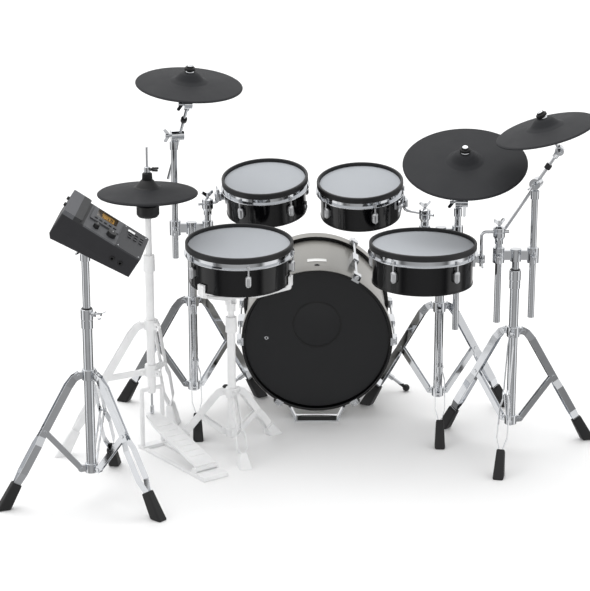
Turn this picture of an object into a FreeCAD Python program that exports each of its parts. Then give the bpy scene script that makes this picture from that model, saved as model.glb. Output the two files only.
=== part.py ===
import FreeCAD, Part
import math
import os
from FreeCAD import Placement, Rotation, Vector

# An electronic drum kit. Millimetres, +X to the drummer's right, +Y away from the drummer, +Z up.
# The origin is on the floor under the centre of the bass drum's batter head.

# Clearances
FIT = 0.05
SLIP = 0.15
RUN = 0.3
CLAMP_GAP = 0.5

# Bass drum, batter head centre above the origin
BASS_R = 228.6
BASS_LENGTH = 344.0
BASS_LIFT = 28.0
BASS_TILT = 4.0
BASS_WALL = 8.0
BASS_HOOP_OUT = 13.4
BASS_HOOP_IN = 5.0
BASS_HOOP_PROUD = 13.0
BASS_HOOP_DEPTH = 41.0
CLAW_COUNT = 6
CLAW_WIDTH = 26.0
CLAW_T = 4.0
CLAW_ROD_R = 4.0
CLAW_ROD_OUT = 21.0
BASS_LUG_LENGTH = 64.0
KICK_PAD_R = 78.0
KICK_PAD_T = 38.0
PLATE_WIDTH = 200.0
PLATE_DEPTH = 96.0
PLATE_T = 4.0
SADDLE_WIDTH = 128.0
SADDLE_DEPTH = 22.0
SPUR_FOOT = (304.0, 279.0)
SPUR_STATION = 235.0
SPUR_ROD_R = 6.0
SPUR_TIP_R = 12.0
SPUR_HINGE_OUT = 27.0
BASS_HEIGHT = BASS_R + BASS_HOOP_OUT + BASS_LIFT

# Small drums
SNARE_R = 152.4
TOM_R = 127.0
SNARE_DEPTH = 114.0
TOM_DEPTH = 110.0
FLOOR_DEPTH = 116.0
SNARE_AT = (-238.0, -290.0, 666.0)
SNARE_LEAN = (4.5, 0.0)
TOM_LEFT_AT = (-166.0, 90.0, 777.0)
TOM_LEFT_LEAN = (12.0, -3.0)
TOM_RIGHT_AT = (136.0, 95.0, 763.0)
TOM_RIGHT_LEAN = (12.0, -2.0)
FLOOR_AT = (316.0, -264.0, 656.0)
FLOOR_LEAN = (1.0, 0.0)
SNARE_LUG_START = -79.0
TOM_LEFT_LUG_START = -126.0
TOM_RIGHT_LUG_START = -72.0
FLOOR_LUG_START = -54.0
SHELL_WALL = 8.0
SHELL_TRIM = 1.5
BOARD_INSET = 12.0
BOARD_T = 6.0
HEAD_T = 1.2
SKIN_IN = 0.4
SKIN_OUT = 1.6
FLESH_OUT = 3.6
FLESH_TOP = 12.0
FLESH_LOW = 20.0
HOOP_IN = 4.0
HOOP_OUT = 6.0
HOOP_TOP = 5.0
HOOP_LOW = 26.0
FLANGE_OUT = 14.5
FLANGE_T = 3.0
RIM_IN = 2.2
RIM_OUT = 10.5
RIM_TOP = 11.0
RIM_LOW = 8.0
LUG_COUNT = 5
LUG_R = 9.5
LUG_OUT = 7.0
LUG_Z = -63.0
LUG_HALF = 10.0
TENSION_R = 2.6
TENSION_HEAD_R = 4.2
JACK_R = 3.25
JACK_Z = -84.0
JACK_PLATE = 26.0
JACK_PLATE_T = 5.0

# Tom arms
ARM_R = 4.75
ARM_BEND = 13.0
EYE_OUT = 25.0
EYE_R = 12.0
EYE_HALF = 12.0
BRACKET_HALF = 18.0
TOM_EYE_Z = -41.0
FLOOR_EYE_Z = -46.0
ARM_PAST = 30.0

# Tripods and masts
TUBE_R = 14.3
TUBE_BORE = 12.8
MAST_R = 11.1
MAST_BORE = 9.5
POST_R = 10.0
POST_BORE = 8.5
MODULE_STAND = (-662.0, -660.0)
LEFT_STAND = (-400.0, 74.0)
CENTRE_STAND = (390.0, 10.0)
RIGHT_STAND = (598.0, -253.0)
MODULE_LEGS = 80.5
LEFT_LEGS = 35.5
CENTRE_LEGS = 28.0
RIGHT_LEGS = 17.0
LEG_COLLAR_Z = 378.0
LOW_COLLAR_Z = 94.0
LEG_REACH = 265.0
LEG_PIVOT_R = 32.0
BRACE_PIVOT_R = 31.0
LEG_JOINT = 0.365
TAB_T = 9.0
STRIP_T = 2.2
STRIP_W = 22.0
STRIP_SPREAD = 15.0
RIVET_R = 3.0
FOOT_TOP = 0.79
CLAMP_TOP = 575.0
CLAMP_LOW = 517.0
CLAMP_R = 18.0
TUBE_TOP = 548.0
MAST_LOW = 330.0
TWIN_Z = 622.0
TWIN_HALF = 52.0
TWIN_HUB_R = 17.0
LEFT_ARM_Z = 702.0
CENTRE_ARM_Z = 684.0
RIGHT_ARM_Z = 694.0
LEFT_BOOM_Z = 922.0
CENTRE_BOOM_Z = 722.0
RIGHT_BOOM_Z = 842.0
LEFT_POST_LOW = (522.0, 470.0)
CENTRE_POST_LOW = (303.0, 430.0)
RIGHT_POST_LOW = (425.0, 409.0)

# Booms and cymbals: edge centre, lean to the drummer and to the right, and how far right the tilter stands
CRASH_LEFT_AT = (-394.0, -53.0, 1108.0)
CRASH_LEFT_LEAN = (8.0, 4.3)
CRASH_LEFT_R = 165.0
RIDE_AT = (447.0, -150.0, 883.0)
RIDE_LEAN = (22.0, -3.0)
RIDE_R = 191.0
CRASH_RIGHT_AT = (675.0, -262.0, 1009.0)
CRASH_RIGHT_LEAN = (3.5, -15.0)
CRASH_RIGHT_R = 152.5
CRASH_LEFT_ASIDE = 0.0
RIDE_ASIDE = 0.0
CRASH_RIGHT_ASIDE = 26.0
CRASH_LEFT_TAIL = 265.0
RIDE_TAIL = 110.0
CRASH_RIGHT_TAIL = 220.0
BOOM_R = 5.0
BOOM_SIDE = 20.0
BOOM_HUB_R = 17.0
CYMBAL_RISE = 34.0
TILTER_DROP = 65.0
CYMBAL_ROD_R = 4.0
BALL_R = 13.8
HUB_HALF = 6.0
BELL_R = 54.0
PAD_T = 5.5

# Hi-hat
HIHAT_AXIS = (-514.0, -240.0)
HIHAT_EDGE_Z = 812.0
HIHAT_R = 152.5
HIHAT_BELL_R = 40.0
HIHAT_ROD_R = 3.5
HIHAT_ROD_TOP = 953.0
HIHAT_LINK_Z = 109.5
CONTROLLER_R = 34.5
CONTROLLER_LOW = 738.0
CONTROLLER_TOP = 779.0
HIHAT_TUBE_R = 13.0
HIHAT_TUBE_BORE = 11.0
HIHAT_INNER_R = 9.5
HIHAT_INNER_BORE = 7.0
HIHAT_COLLAR_Z = 397.0
HIHAT_LOW_COLLAR_Z = 245.0
HIHAT_TUBE_TOP = 597.0
HIHAT_LEGS = ((196.0, 290.0), (76.0, 215.0))
YOKE_HALF = 37.0
YOKE_Z = 190.0
YOKE_R = 7.0
PEDAL_TURN = -53.5
PEDAL_HINGE = 292.0
PEDAL_HINGE_Z = 20.0
PEDAL_TOE = -14.0
PEDAL_TOE_Z = 98.0
PEDAL_WIDTH = 88.0
PEDAL_T = 7.0
HEEL_END = 350.0

# Snare stand
SNARE_STAND = (-266.0, -250.0)
SNARE_STAND_LEGS = -76.0
SNARE_STAND_REACH = 178.0
SNARE_COLLAR_Z = 180.0
SNARE_LOW_COLLAR_Z = 52.0
SNARE_TUBE_R = 12.7
SNARE_TUBE_TOP = 406.0
SNARE_INNER_R = 10.0
BASKET_PIVOT_Z = 490.0
BASKET_DROP = 46.0
BASKET_ARMS = (-134.0, -14.0, 106.0)
GRIP_WIDTH = 24.0
GRIP_T = 8.0

# Sound module, lean to the drummer and to the right
MODULE_HINGE_Z = 764.0
MODULE_LEAN = (10.0, 33.0)
MODULE_W = 252.0
MODULE_D = 149.0
MODULE_H = 72.0
PANEL_DROP = 9.0
SIDE_BLOCK_W = 58.0
BEZEL_W = 92.0
BEZEL_D = 76.0
BEZEL_X = -6.0
BEZEL_Y = 22.0
BEZEL_H = 5.0
SCREEN_W = 64.0
SCREEN_D = 44.0
SCREEN_T = 2.0
BUTTON_W = 9.0
BUTTON_D = 6.0
BUTTON_H = 3.0
BUTTON_SINK = 4.0
DIAL_R = 14.0
DIAL_H = 13.0
DIAL_AT = (22.0, -42.0)
VOLUME_R = 9.0
VOLUME_AT = (-26.0, -46.0)
KNOB_SHAFT_R = 3.0
MOUNT_HINGE_X = -22.0
MOUNT_HINGE_DROP = 22.0
MOUNT_PLATE_T = 4.0
KNUCKLE_R = 13.0
KNUCKLE_HALF = 11.0
CHEEK_T = 6.0

X_AXIS = Vector(1, 0, 0)
Y_AXIS = Vector(0, 1, 0)
Z_AXIS = Vector(0, 0, 1)
CENTRE = Vector(0, 0, 0)


def leaning(point, lean):
    """Placement at a point, leaning to the drummer and then to the right."""
    turn = Rotation(Y_AXIS, lean[1]).multiply(Rotation(X_AXIS, lean[0]))
    return Placement(Vector(*point), turn)


def put(shape, placement):
    return shape.transformed(placement.toMatrix())


def shift(shape, x, y, z):
    return shape.translated(Vector(x, y, z))


def spin(shape, degrees):
    return shape.rotated(CENTRE, Z_AXIS, degrees)


def along(point, direction):
    """Placement that sends the Z axis along a direction from a point."""
    return Placement(Vector(point), Rotation(Z_AXIS, Vector(direction)))


def rod(start, end, radius):
    line = end - start
    return Part.makeCylinder(radius, line.Length, start, line)


def pipe(start, end, radius, bore):
    return rod(start, end, radius).cut(rod(start, end, bore))


def block(x0, x1, y0, y1, z0, z1):
    return Part.makeBox(x1 - x0, y1 - y0, z1 - z0, Vector(x0, y0, z0))


def outline(corners):
    """Closed wire in the XZ plane; each corner is x, z and an optional rounding radius."""
    points = [Vector(corner[0], 0, corner[1]) for corner in corners]
    ends = []
    arcs = []
    for index, corner in enumerate(corners):
        here = points[index]
        radius = corner[2] if len(corner) > 2 else 0
        if radius == 0:
            ends.append((here, here))
            arcs.append(None)
            continue
        back = (points[index - 1] - here).normalize()
        ahead = (points[(index + 1) % len(points)] - here).normalize()
        half = back.getAngle(ahead) / 2
        start = here + back * (radius / math.tan(half))
        end = here + ahead * (radius / math.tan(half))
        middle = here + (back + ahead).normalize() * (radius / math.sin(half) - radius)
        ends.append((start, end))
        arcs.append(Part.Arc(start, middle, end).toShape())
    edges = []
    for index in range(len(points)):
        if arcs[index]:
            edges.append(arcs[index])
        leave = ends[index][1]
        arrive = ends[(index + 1) % len(points)][0]
        if (arrive - leave).Length > 1e-6:
            edges.append(Part.makeLine(leave, arrive))
    return Part.Wire(edges)


def turned(corners):
    return Part.Face(outline(corners)).revolve(CENTRE, Z_AXIS, 360)


def slab(corners, half):
    """Outline in the XZ plane, thickened by half to each side along Y."""
    face = Part.Face(outline(corners))
    face.translate(Vector(0, -half, 0))
    return face.extrude(Vector(0, 2 * half, 0))


def joined(first, *others):
    return first.multiFuse(list(others)).removeSplitter()


def wing_bolt(point, direction, roll=0.0):
    """Stem, hub and two wings, standing on a point."""
    wings = slab(((-7, 5), (-21, 16, 3), (-19, 27, 4), (-6, 17, 3), (6, 17, 3), (19, 27, 4), (21, 16, 3),
                  (7, 5)), 2.5)
    hub = turned(((0, 0), (4.5, 0), (4.5, 4), (7, 6), (6, 18, 2), (0, 18)))
    return put(spin(joined(hub, wings), roll), along(point, direction))


def rivet(half):
    head = half + 2.0
    return turned(((0, -head), (5.5, -head, 0.8), (5.5, -half), (RIVET_R, -half),
                   (RIVET_R, half), (5.5, half), (5.5, head, 0.8), (0, head)))


def strip(stations, side, width):
    """Flat bar through stations of reach, height and distance to the side."""
    wires = []
    for index, (reach, height, aside) in enumerate(stations):
        before = stations[max(index - 1, 0)]
        after = stations[min(index + 1, len(stations) - 1)]
        run = Vector(after[0] - before[0], 0, after[1] - before[1]).normalize()
        across = Vector(-run.z, 0, run.x) * (width / 2)
        middle = Vector(reach, side * aside, height)
        thick = Vector(0, STRIP_T / 2, 0)
        corners = [middle + across + thick, middle + across - thick, middle - across - thick,
                   middle - across + thick]
        wires.append(Part.makePolygon(corners + corners[:1]))
    return Part.makeLoft(wires, True, True)


def rounded_ring(middle, first, second, radius):
    """Closed wire of a rectangle with rounded corners, spanned by two half sides."""
    u = Vector(first).normalize()
    v = Vector(second).normalize()
    long = first.Length - radius
    wide = second.Length - radius
    edges = []
    for su, sv, turn in ((1, 1, 0), (-1, 1, 1), (-1, -1, 2), (1, -1, 3)):
        centre = middle + u * (su * long) + v * (sv * wide)
        angles = [math.pi / 2 * (turn + step / 2) for step in range(3)]
        spots = [centre + u * (radius * math.cos(a)) + v * (radius * math.sin(a)) for a in angles]
        if edges:
            edges.append(Part.makeLine(edges[-1].Vertexes[-1].Point, spots[0]))
        edges.append(Part.Arc(*spots).toShape())
    edges.append(Part.makeLine(edges[-1].Vertexes[-1].Point, edges[0].Vertexes[0].Point))
    return Part.Wire(edges)


def tripod_leg(collar_z, low_z, reach):
    """Leg strips, brace strips, rivets and foot of one leg that points along X."""
    inner = TAB_T / 2 + SLIP + STRIP_T / 2
    outer = inner + STRIP_T + SLIP
    bend = Vector(LEG_PIVOT_R + 30, 0, collar_z - 28)
    floor = Vector(reach, 0, 0)

    def on_leg(share):
        return bend + (floor - bend) * share

    joint = on_leg(LEG_JOINT)
    path = [(LEG_PIVOT_R - 6, collar_z + 3, inner), (LEG_PIVOT_R + 12, collar_z - 6, inner),
            (bend.x, bend.z, outer)]
    shares = ((LEG_JOINT - 0.04, outer), (LEG_JOINT + 0.04, outer), (0.47, STRIP_SPREAD),
              (0.7, STRIP_SPREAD),
              (FOOT_TOP - 0.01, inner), (0.92, inner))
    path += [(on_leg(share).x, on_leg(share).z, aside) for share, aside in shares]
    slope = Vector(joint.x - BRACE_PIVOT_R, 0, joint.z - low_z).normalize()
    brace = [(BRACE_PIVOT_R - 6 * slope.x, low_z - 6 * slope.z, inner),
             (joint.x + 9 * slope.x, joint.z + 9 * slope.z, inner)]
    pivots = ((LEG_PIVOT_R, collar_z, inner), (BRACE_PIVOT_R, low_z, inner), (joint.x, joint.z, outer))
    holes = [rod(Vector(x, -40, z), Vector(x, 40, z), RIVET_R + SLIP) for x, z, aside in pivots]
    strips = [strip(path, side, STRIP_W) for side in (-1, 1)]
    strips += [strip(brace, side, STRIP_W - 6) for side in (-1, 1)]
    metal = [piece.cut(holes) for piece in strips]
    for x, z, aside in pivots:
        pin = rivet(aside + STRIP_T / 2 + SLIP)
        metal.append(put(pin, along((x, 0, z), Y_AXIS)))
    top = on_leg(FOOT_TOP)
    run = (floor - bend).normalize()
    across = Vector(-run.z, 0, run.x)
    lower = rounded_ring(floor, Vector(25, 0, 0), Vector(0, 20, 0), 8)
    upper = rounded_ring(top, across * 15, Vector(0, 12, 0), 5)
    foot = Part.makeLoft([lower, upper], True, True).cut(strips[:2])
    return metal, foot


def collar(bore, radius, z0, z1, pivot_r, pivot_z):
    """Ring with three tabs for the legs or braces, first tab along X."""
    ring = turned(((bore, z0), (radius, z0, 1.5), (radius, z1, 1.5), (bore, z1)))
    tabs = []
    for turn in (0, 120, 240):
        end = rod(Vector(pivot_r, -TAB_T / 2, pivot_z), Vector(pivot_r, TAB_T / 2, pivot_z), 10)
        web = block(radius - 2, pivot_r, -TAB_T / 2, TAB_T / 2, pivot_z - 10, pivot_z + 10)
        hole = rod(Vector(pivot_r, -TAB_T, pivot_z), Vector(pivot_r, TAB_T, pivot_z), RIVET_R + SLIP)
        tabs.append(spin(end.fuse(web).cut(hole), turn))
    return joined(ring, *tabs)


def tripod(centre, first_leg, bolt_turn):
    """Tube, collars with bolts, leg metal and feet of one tripod."""
    x, y = centre
    tube = pipe(Vector(x, y, LOW_COLLAR_Z - 12), Vector(x, y, TUBE_TOP), TUBE_R, TUBE_BORE)
    upper = collar(TUBE_R + FIT, 20, LEG_COLLAR_Z - 15, LEG_COLLAR_Z + 17, LEG_PIVOT_R, LEG_COLLAR_Z)
    lower = collar(TUBE_R + FIT, 19, LOW_COLLAR_Z - 14, LOW_COLLAR_Z + 14, BRACE_PIVOT_R, LOW_COLLAR_Z)
    collars = [shift(spin(ring, first_leg), x, y, 0) for ring in (upper, lower)]
    sleeve = turned(((TUBE_R + FIT, CLAMP_LOW), (CLAMP_R - 1, CLAMP_LOW, 1.5), (CLAMP_R - 1, TUBE_TOP - 6),
                     (CLAMP_R, TUBE_TOP - 4), (CLAMP_R, CLAMP_TOP, 2), (MAST_R + CLAMP_GAP, CLAMP_TOP),
                     (MAST_R + CLAMP_GAP, TUBE_TOP), (TUBE_R + FIT, TUBE_TOP)))
    out = Vector(math.cos(math.radians(bolt_turn)), math.sin(math.radians(bolt_turn)), 0)
    middle = Vector(x, y, (TUBE_TOP + CLAMP_TOP) / 2)
    boss = rod(Vector(0, 0, middle.z) + out * (CLAMP_R - 3), Vector(0, 0, middle.z) + out * (CLAMP_R + 9),
               8)
    collars.append(shift(joined(sleeve, boss), x, y, 0))
    collars.append(wing_bolt(middle + out * (CLAMP_R + 9), out, 90))
    metal, foot = tripod_leg(LEG_COLLAR_Z, LOW_COLLAR_Z, LEG_REACH)
    legs = []
    feet = []
    for turn in (0, 120, 240):
        legs += [shift(spin(piece, first_leg + turn), x, y, 0) for piece in metal]
        feet.append(shift(spin(foot, first_leg + turn), x, y, 0))
    return tube, collars, legs, feet


def small_drum(radius, depth, lug_start):
    """Shell, head, hoop, rim cover and lugs of a drum with the head's top at the origin."""
    floor = BOARD_INSET - depth
    wall = radius - SHELL_WALL
    shell = turned(((0, floor), (wall, floor), (wall, -depth), (radius + SHELL_TRIM, -depth, 1),
                    (radius + SHELL_TRIM, 6 - depth, 1), (radius, 6 - depth), (radius, -HEAD_T, 2),
                    (wall, -HEAD_T, 2), (wall, floor + BOARD_T), (0, floor + BOARD_T)))
    half = JACK_PLATE / 2
    plate = block(wall + 2, radius + JACK_PLATE_T, -half, half, JACK_Z - half, JACK_Z + half)
    jack = rod(Vector(wall - 5, 0, JACK_Z), Vector(radius + 20, 0, JACK_Z), JACK_R)
    jack_turn = lug_start + 1.5 * 360.0 / LUG_COUNT
    shell = joined(shell, spin(plate, jack_turn)).cut(spin(jack, jack_turn))
    head = turned(((0, -HEAD_T), (radius + SKIN_IN, -HEAD_T), (radius + SKIN_IN, -FLESH_LOW),
                   (radius + FLESH_OUT, -FLESH_LOW), (radius + FLESH_OUT, -FLESH_TOP),
                   (radius + SKIN_OUT, -FLESH_TOP), (radius + SKIN_OUT, 0, 1), (0, 0)))
    lip = FLESH_TOP - 2.5
    hoop = turned(((radius + HOOP_IN, -HOOP_LOW), (radius + FLANGE_OUT, -HOOP_LOW, 1),
                   (radius + FLANGE_OUT, FLANGE_T - HOOP_LOW, 1), (radius + HOOP_OUT, FLANGE_T - HOOP_LOW),
                   (radius + HOOP_OUT, HOOP_TOP), (radius + HOOP_IN, HOOP_TOP), (radius + HOOP_IN, -lip),
                   (radius + SKIN_OUT + RUN, -lip), (radius + SKIN_OUT + RUN, -FLESH_TOP),
                   (radius + HOOP_IN, -FLESH_TOP)))
    rim = turned(((radius + RIM_IN, -4, 0.5), (radius + HOOP_IN - SLIP, -4),
                  (radius + HOOP_IN - SLIP, HOOP_TOP),
                  (radius + HOOP_OUT + SLIP, HOOP_TOP), (radius + HOOP_OUT + SLIP, -RIM_LOW),
                  (radius + RIM_OUT, -RIM_LOW, 2), (radius + RIM_OUT, RIM_TOP, 4),
                  (radius + RIM_IN, RIM_TOP, 3)))
    screw_r = radius + (HOOP_OUT + FLANGE_OUT) / 2
    flange_top = FLANGE_T - HOOP_LOW
    top = LUG_Z + LUG_HALF
    low = LUG_Z - LUG_HALF
    body = Part.makeCylinder(LUG_R, 2 * LUG_HALF, Vector(radius + LUG_OUT, 0, low))
    caps = [Part.makeSphere(LUG_R, Vector(radius + LUG_OUT, 0, z)) for z in (low, top)]
    foot = block(radius - 4, radius + LUG_OUT, -LUG_R, LUG_R, low, top)
    screw = turned(((0, top - 6), (TENSION_R, top - 6), (TENSION_R, flange_top),
                    (TENSION_HEAD_R, flange_top),
                    (TENSION_HEAD_R, flange_top + 8, 1), (0, flange_top + 8)))
    screw = shift(screw, screw_r, 0, 0)
    room = Part.makeCylinder(TENSION_R + FIT, 40, Vector(screw_r, 0, top - 6))
    inside = Part.makeCylinder(radius, 2 * depth, Vector(0, 0, -depth))
    lug = joined(body, foot, *caps).cut([room, inside])
    lugs = []
    holes = []
    for index in range(LUG_COUNT):
        turn = lug_start + 360.0 / LUG_COUNT * index
        lugs += [spin(lug, turn), spin(screw, turn)]
        holes.append(spin(Part.makeCylinder(TENSION_R + SLIP, 20, Vector(screw_r, 0, -HOOP_LOW - 8)), turn))
    return {"shell": [shell], "head": [head], "hoop": [hoop.cut(holes)], "rim": [rim], "lugs": lugs}


def arm_path(seat, place):
    """Holder point seen from a drum: turn about its axis, distance from it and height over the head."""
    local = place.inverse().multVec(seat)
    return math.degrees(math.atan2(local.y, local.x)), math.hypot(local.x, local.y), local.z


def tom_arm(radius, eye_z, seat, place):
    """Bracket, wing bolt and bent rod that runs from the drum's eye into the holder at a seat."""
    turn, distance, height = arm_path(seat, place)
    eye_x = radius + EYE_OUT
    up = 1 if eye_z > height else -1
    eye = Part.makeCylinder(EYE_R, 2 * EYE_HALF, Vector(eye_x, 0, eye_z - EYE_HALF))
    web = block(radius - 4, eye_x, -9, 9, eye_z - EYE_HALF + 2, eye_z + EYE_HALF - 2)
    base = block(radius - 6, radius + 6, -BRACKET_HALF, BRACKET_HALF, eye_z - 20, eye_z + 14)
    bore = Part.makeCylinder(ARM_R + FIT, 4 * EYE_HALF, Vector(eye_x, 0, eye_z - 2 * EYE_HALF))
    inside = Part.makeCylinder(radius, 8 * EYE_HALF, Vector(0, 0, eye_z - 4 * EYE_HALF))
    boss = rod(Vector(eye_x, 0, eye_z), Vector(eye_x, -EYE_R - 3, eye_z), 7)
    bracket = joined(eye, web, base, boss).cut([bore, inside])
    start = Vector(eye_x, 0, eye_z + up * (EYE_HALF + 12))
    corner = Vector(eye_x, 0, height)
    end = Vector(distance + ARM_PAST, 0, height)
    before = corner + Vector(0, 0, up * ARM_BEND)
    after = corner + Vector(ARM_BEND, 0, 0)
    middle = corner + Vector(1 - math.sqrt(0.5), 0, up * (1 - math.sqrt(0.5))) * ARM_BEND
    spine = Part.Wire([Part.makeLine(start, before), Part.Arc(before, middle, after).toShape(),
                       Part.makeLine(after, end)])
    ring = Part.Wire([Part.makeCircle(ARM_R, start, Z_AXIS)])
    bar = spine.makePipeShell([ring], True, False)
    bolt = wing_bolt(Vector(eye_x, -EYE_R - 3, eye_z), -Y_AXIS, 90)
    pieces = [bracket, bar, bolt]
    return [put(spin(piece, turn), place) for piece in pieces]


def boom_line(post, seat):
    """Axis along the hinge, start beside the post and direction of a boom that ends at a seat."""
    flat = Vector(seat.x - post.x, seat.y - post.y, 0)
    lean = math.degrees(math.asin(BOOM_SIDE / flat.Length))
    ahead = Rotation(Z_AXIS, -lean).multVec(flat.normalize())
    hinge = Rotation(Z_AXIS, 90).multVec(ahead)
    start = post + hinge * BOOM_SIDE
    return hinge, start, (seat - start).normalize()


def boom(post, seat, ball_at, tail):
    """Hub, rod, tilter with bolt, and the cymbal rod with its ball and nut."""
    hinge, start, run = boom_line(post, seat)
    face = BOOM_HUB_R / 2 + RUN
    hub = rod(post + hinge * face, post + hinge * (2 * BOOM_SIDE - face), BOOM_HUB_R)
    pocket = rod(post + hinge * (face - 1), post + hinge * (face + 4.5), CYMBAL_ROD_R + SLIP)
    bar = rod(start - run * tail, seat - run * 6, BOOM_R)
    axis = ball_at - seat
    top = axis.Length
    side = run.cross(axis).normalize()
    body = rod(seat - side * 12, seat + side * 12, 14)
    socket = rod(seat - run * 26, seat, 9)
    tilter = joined(body, socket).cut(rod(start, seat - run * 6, BOOM_R + FIT))
    low = math.sqrt(BALL_R ** 2 - CYMBAL_ROD_R ** 2)
    peg = turned(((0, 13), (CYMBAL_ROD_R, 13), (CYMBAL_ROD_R, top - 34), (9, top - 30, 1), (9, top - 17, 1),
                  (CYMBAL_ROD_R, top - 15), (CYMBAL_ROD_R, top - low), (0, top - low)))
    nut = turned(((0, top + 9), (8, top + 9), (9.5, top + 14), (9.5, top + 26, 3), (0, top + 26)))
    ball = Part.makeSphere(BALL_R, Vector(0, 0, top))
    mast = put(joined(peg, ball, nut), along(seat, axis)).cut(body)
    bolt = wing_bolt(seat + side * 12, side, 40)
    return [hub.cut([pocket, rod(start - run * 40, start + run * 40, BOOM_R + FIT)]), bar, tilter, mast,
            bolt]


def boom_seat(edge, lean, aside):
    """Point of the tilter under a cymbal and the cymbal's ball centre."""
    axis = leaning(edge, lean).Rotation.multVec(Z_AXIS)
    return Vector(*edge) - axis * TILTER_DROP + X_AXIS * aside, Vector(*edge) + axis * CYMBAL_RISE


def cymbal(radius, place):
    """Bowed pad with a bell, a ball socket in the middle and a jack housing below."""
    edge = -CYMBAL_RISE
    bell = edge + 15 - CYMBAL_RISE * 0.06
    pad = turned(((6, HUB_HALF), (24, HUB_HALF - 1, 20), (BELL_R - 10, bell + 5, 20),
                  (BELL_R + 4, bell - 2, 10),
                  (radius * 0.62, edge + 7, 200), (radius - 5, edge + 1, 4), (radius, edge - 2, 2),
                  (radius - 1, edge - 5, 1), (radius - 8, edge - 5), (radius * 0.6, edge + 7 - PAD_T, 200),
                  (BELL_R - 2, bell - 2 - PAD_T, 10), (BELL_R - 15, bell + 3 - PAD_T, 10),
                  (22, -HUB_HALF, 8),
                  (6, -HUB_HALF)))
    housing = block(BELL_R + 6, BELL_R + 44, -14, 14, edge - 16, edge + 6)
    jack = rod(Vector(BELL_R + 22, 0, edge - 9.5), Vector(BELL_R + 60, 0, edge - 9.5), JACK_R)
    housing = housing.cut(jack)
    pad = pad.cut(Part.makeSphere(BALL_R + RUN, CENTRE))
    return [put(joined(pad, spin(housing, 90)), place)]


def mast(stand, boom_sign, boom_z, boom_hinge, arm_z, arm_run, lows):
    """Inner tube, twin clamp, two posts, tom holder and boom holder, each with its bolts."""
    x, y = stand
    tube = pipe(Vector(x, y, MAST_LOW), Vector(x, y, TWIN_Z + 14), MAST_R, MAST_BORE)
    hub = Part.makeCylinder(TWIN_HUB_R, 38, Vector(0, 0, TWIN_Z - 19))
    bar = block(-TWIN_HALF, TWIN_HALF, -9, 9, TWIN_Z - 14, TWIN_Z + 14)
    ends = [Part.makeCylinder(TWIN_HUB_R + 1, 46, Vector(side * TWIN_HALF, 0, TWIN_Z - 23))
            for side in (-1, 1)]
    ears = [rod(Vector(side * TWIN_HALF, -10, TWIN_Z), Vector(side * TWIN_HALF, -26, TWIN_Z), 9)
            for side in (-1, 1)]
    bores = [Part.makeCylinder(POST_R + FIT, 60, Vector(side * TWIN_HALF, 0, TWIN_Z - 30))
             for side in (-1, 1)]
    bores.append(Part.makeCylinder(MAST_R + FIT, 38, Vector(0, 0, TWIN_Z - 24)))
    clamp = shift(joined(hub, bar, *ends, *ears).cut(bores), x, y, 0)
    bolts = [wing_bolt(Vector(x + side * TWIN_HALF, y - 26, TWIN_Z), -Y_AXIS, 90) for side in (-1, 1)]
    boom_x = x + boom_sign * TWIN_HALF
    arm_x = x - boom_sign * TWIN_HALF
    boom_post = pipe(Vector(boom_x, y, lows[0]), Vector(boom_x, y, boom_z - 24), POST_R, POST_BORE)
    arm_post = pipe(Vector(arm_x, y, lows[1]), Vector(arm_x, y, arm_z - 22), POST_R, POST_BORE)
    holder = turned(((0, -22), (POST_R + FIT, -22), (POST_R + FIT, -37), (13, -37, 1), (13, -24),
                     (18, -15, 2),
                     (18, -1.5), (14, -1.5), (14, 1.5), (18, 1.5), (18, 13, 3), (10, 17), (0, 17)))
    bore = rod(arm_run * -30, arm_run * 30, ARM_R + SLIP)
    holder = shift(holder.cut(bore), arm_x, y, arm_z)
    grip = wing_bolt(Vector(arm_x, y, arm_z + 17), Z_AXIS, 35)
    post = Vector(boom_x, y, boom_z)
    half = BOOM_HUB_R / 2
    socket = turned(((0, -24), (POST_R + FIT, -24), (POST_R + FIT, -46), (13, -46, 1), (13, -20),
                     (half - 1, -18),
                     (half - 1, -8), (0, -8)))
    disc = rod(boom_hinge * -half, boom_hinge * half, BOOM_HUB_R)
    pin = rod(CENTRE, boom_hinge * (half + 4), CYMBAL_ROD_R)
    seat = shift(joined(socket, disc, pin), *post)
    wing = wing_bolt(post - boom_hinge * half, -boom_hinge, 20)
    return [tube, clamp, boom_post, arm_post, holder, grip, seat, wing] + bolts


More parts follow.
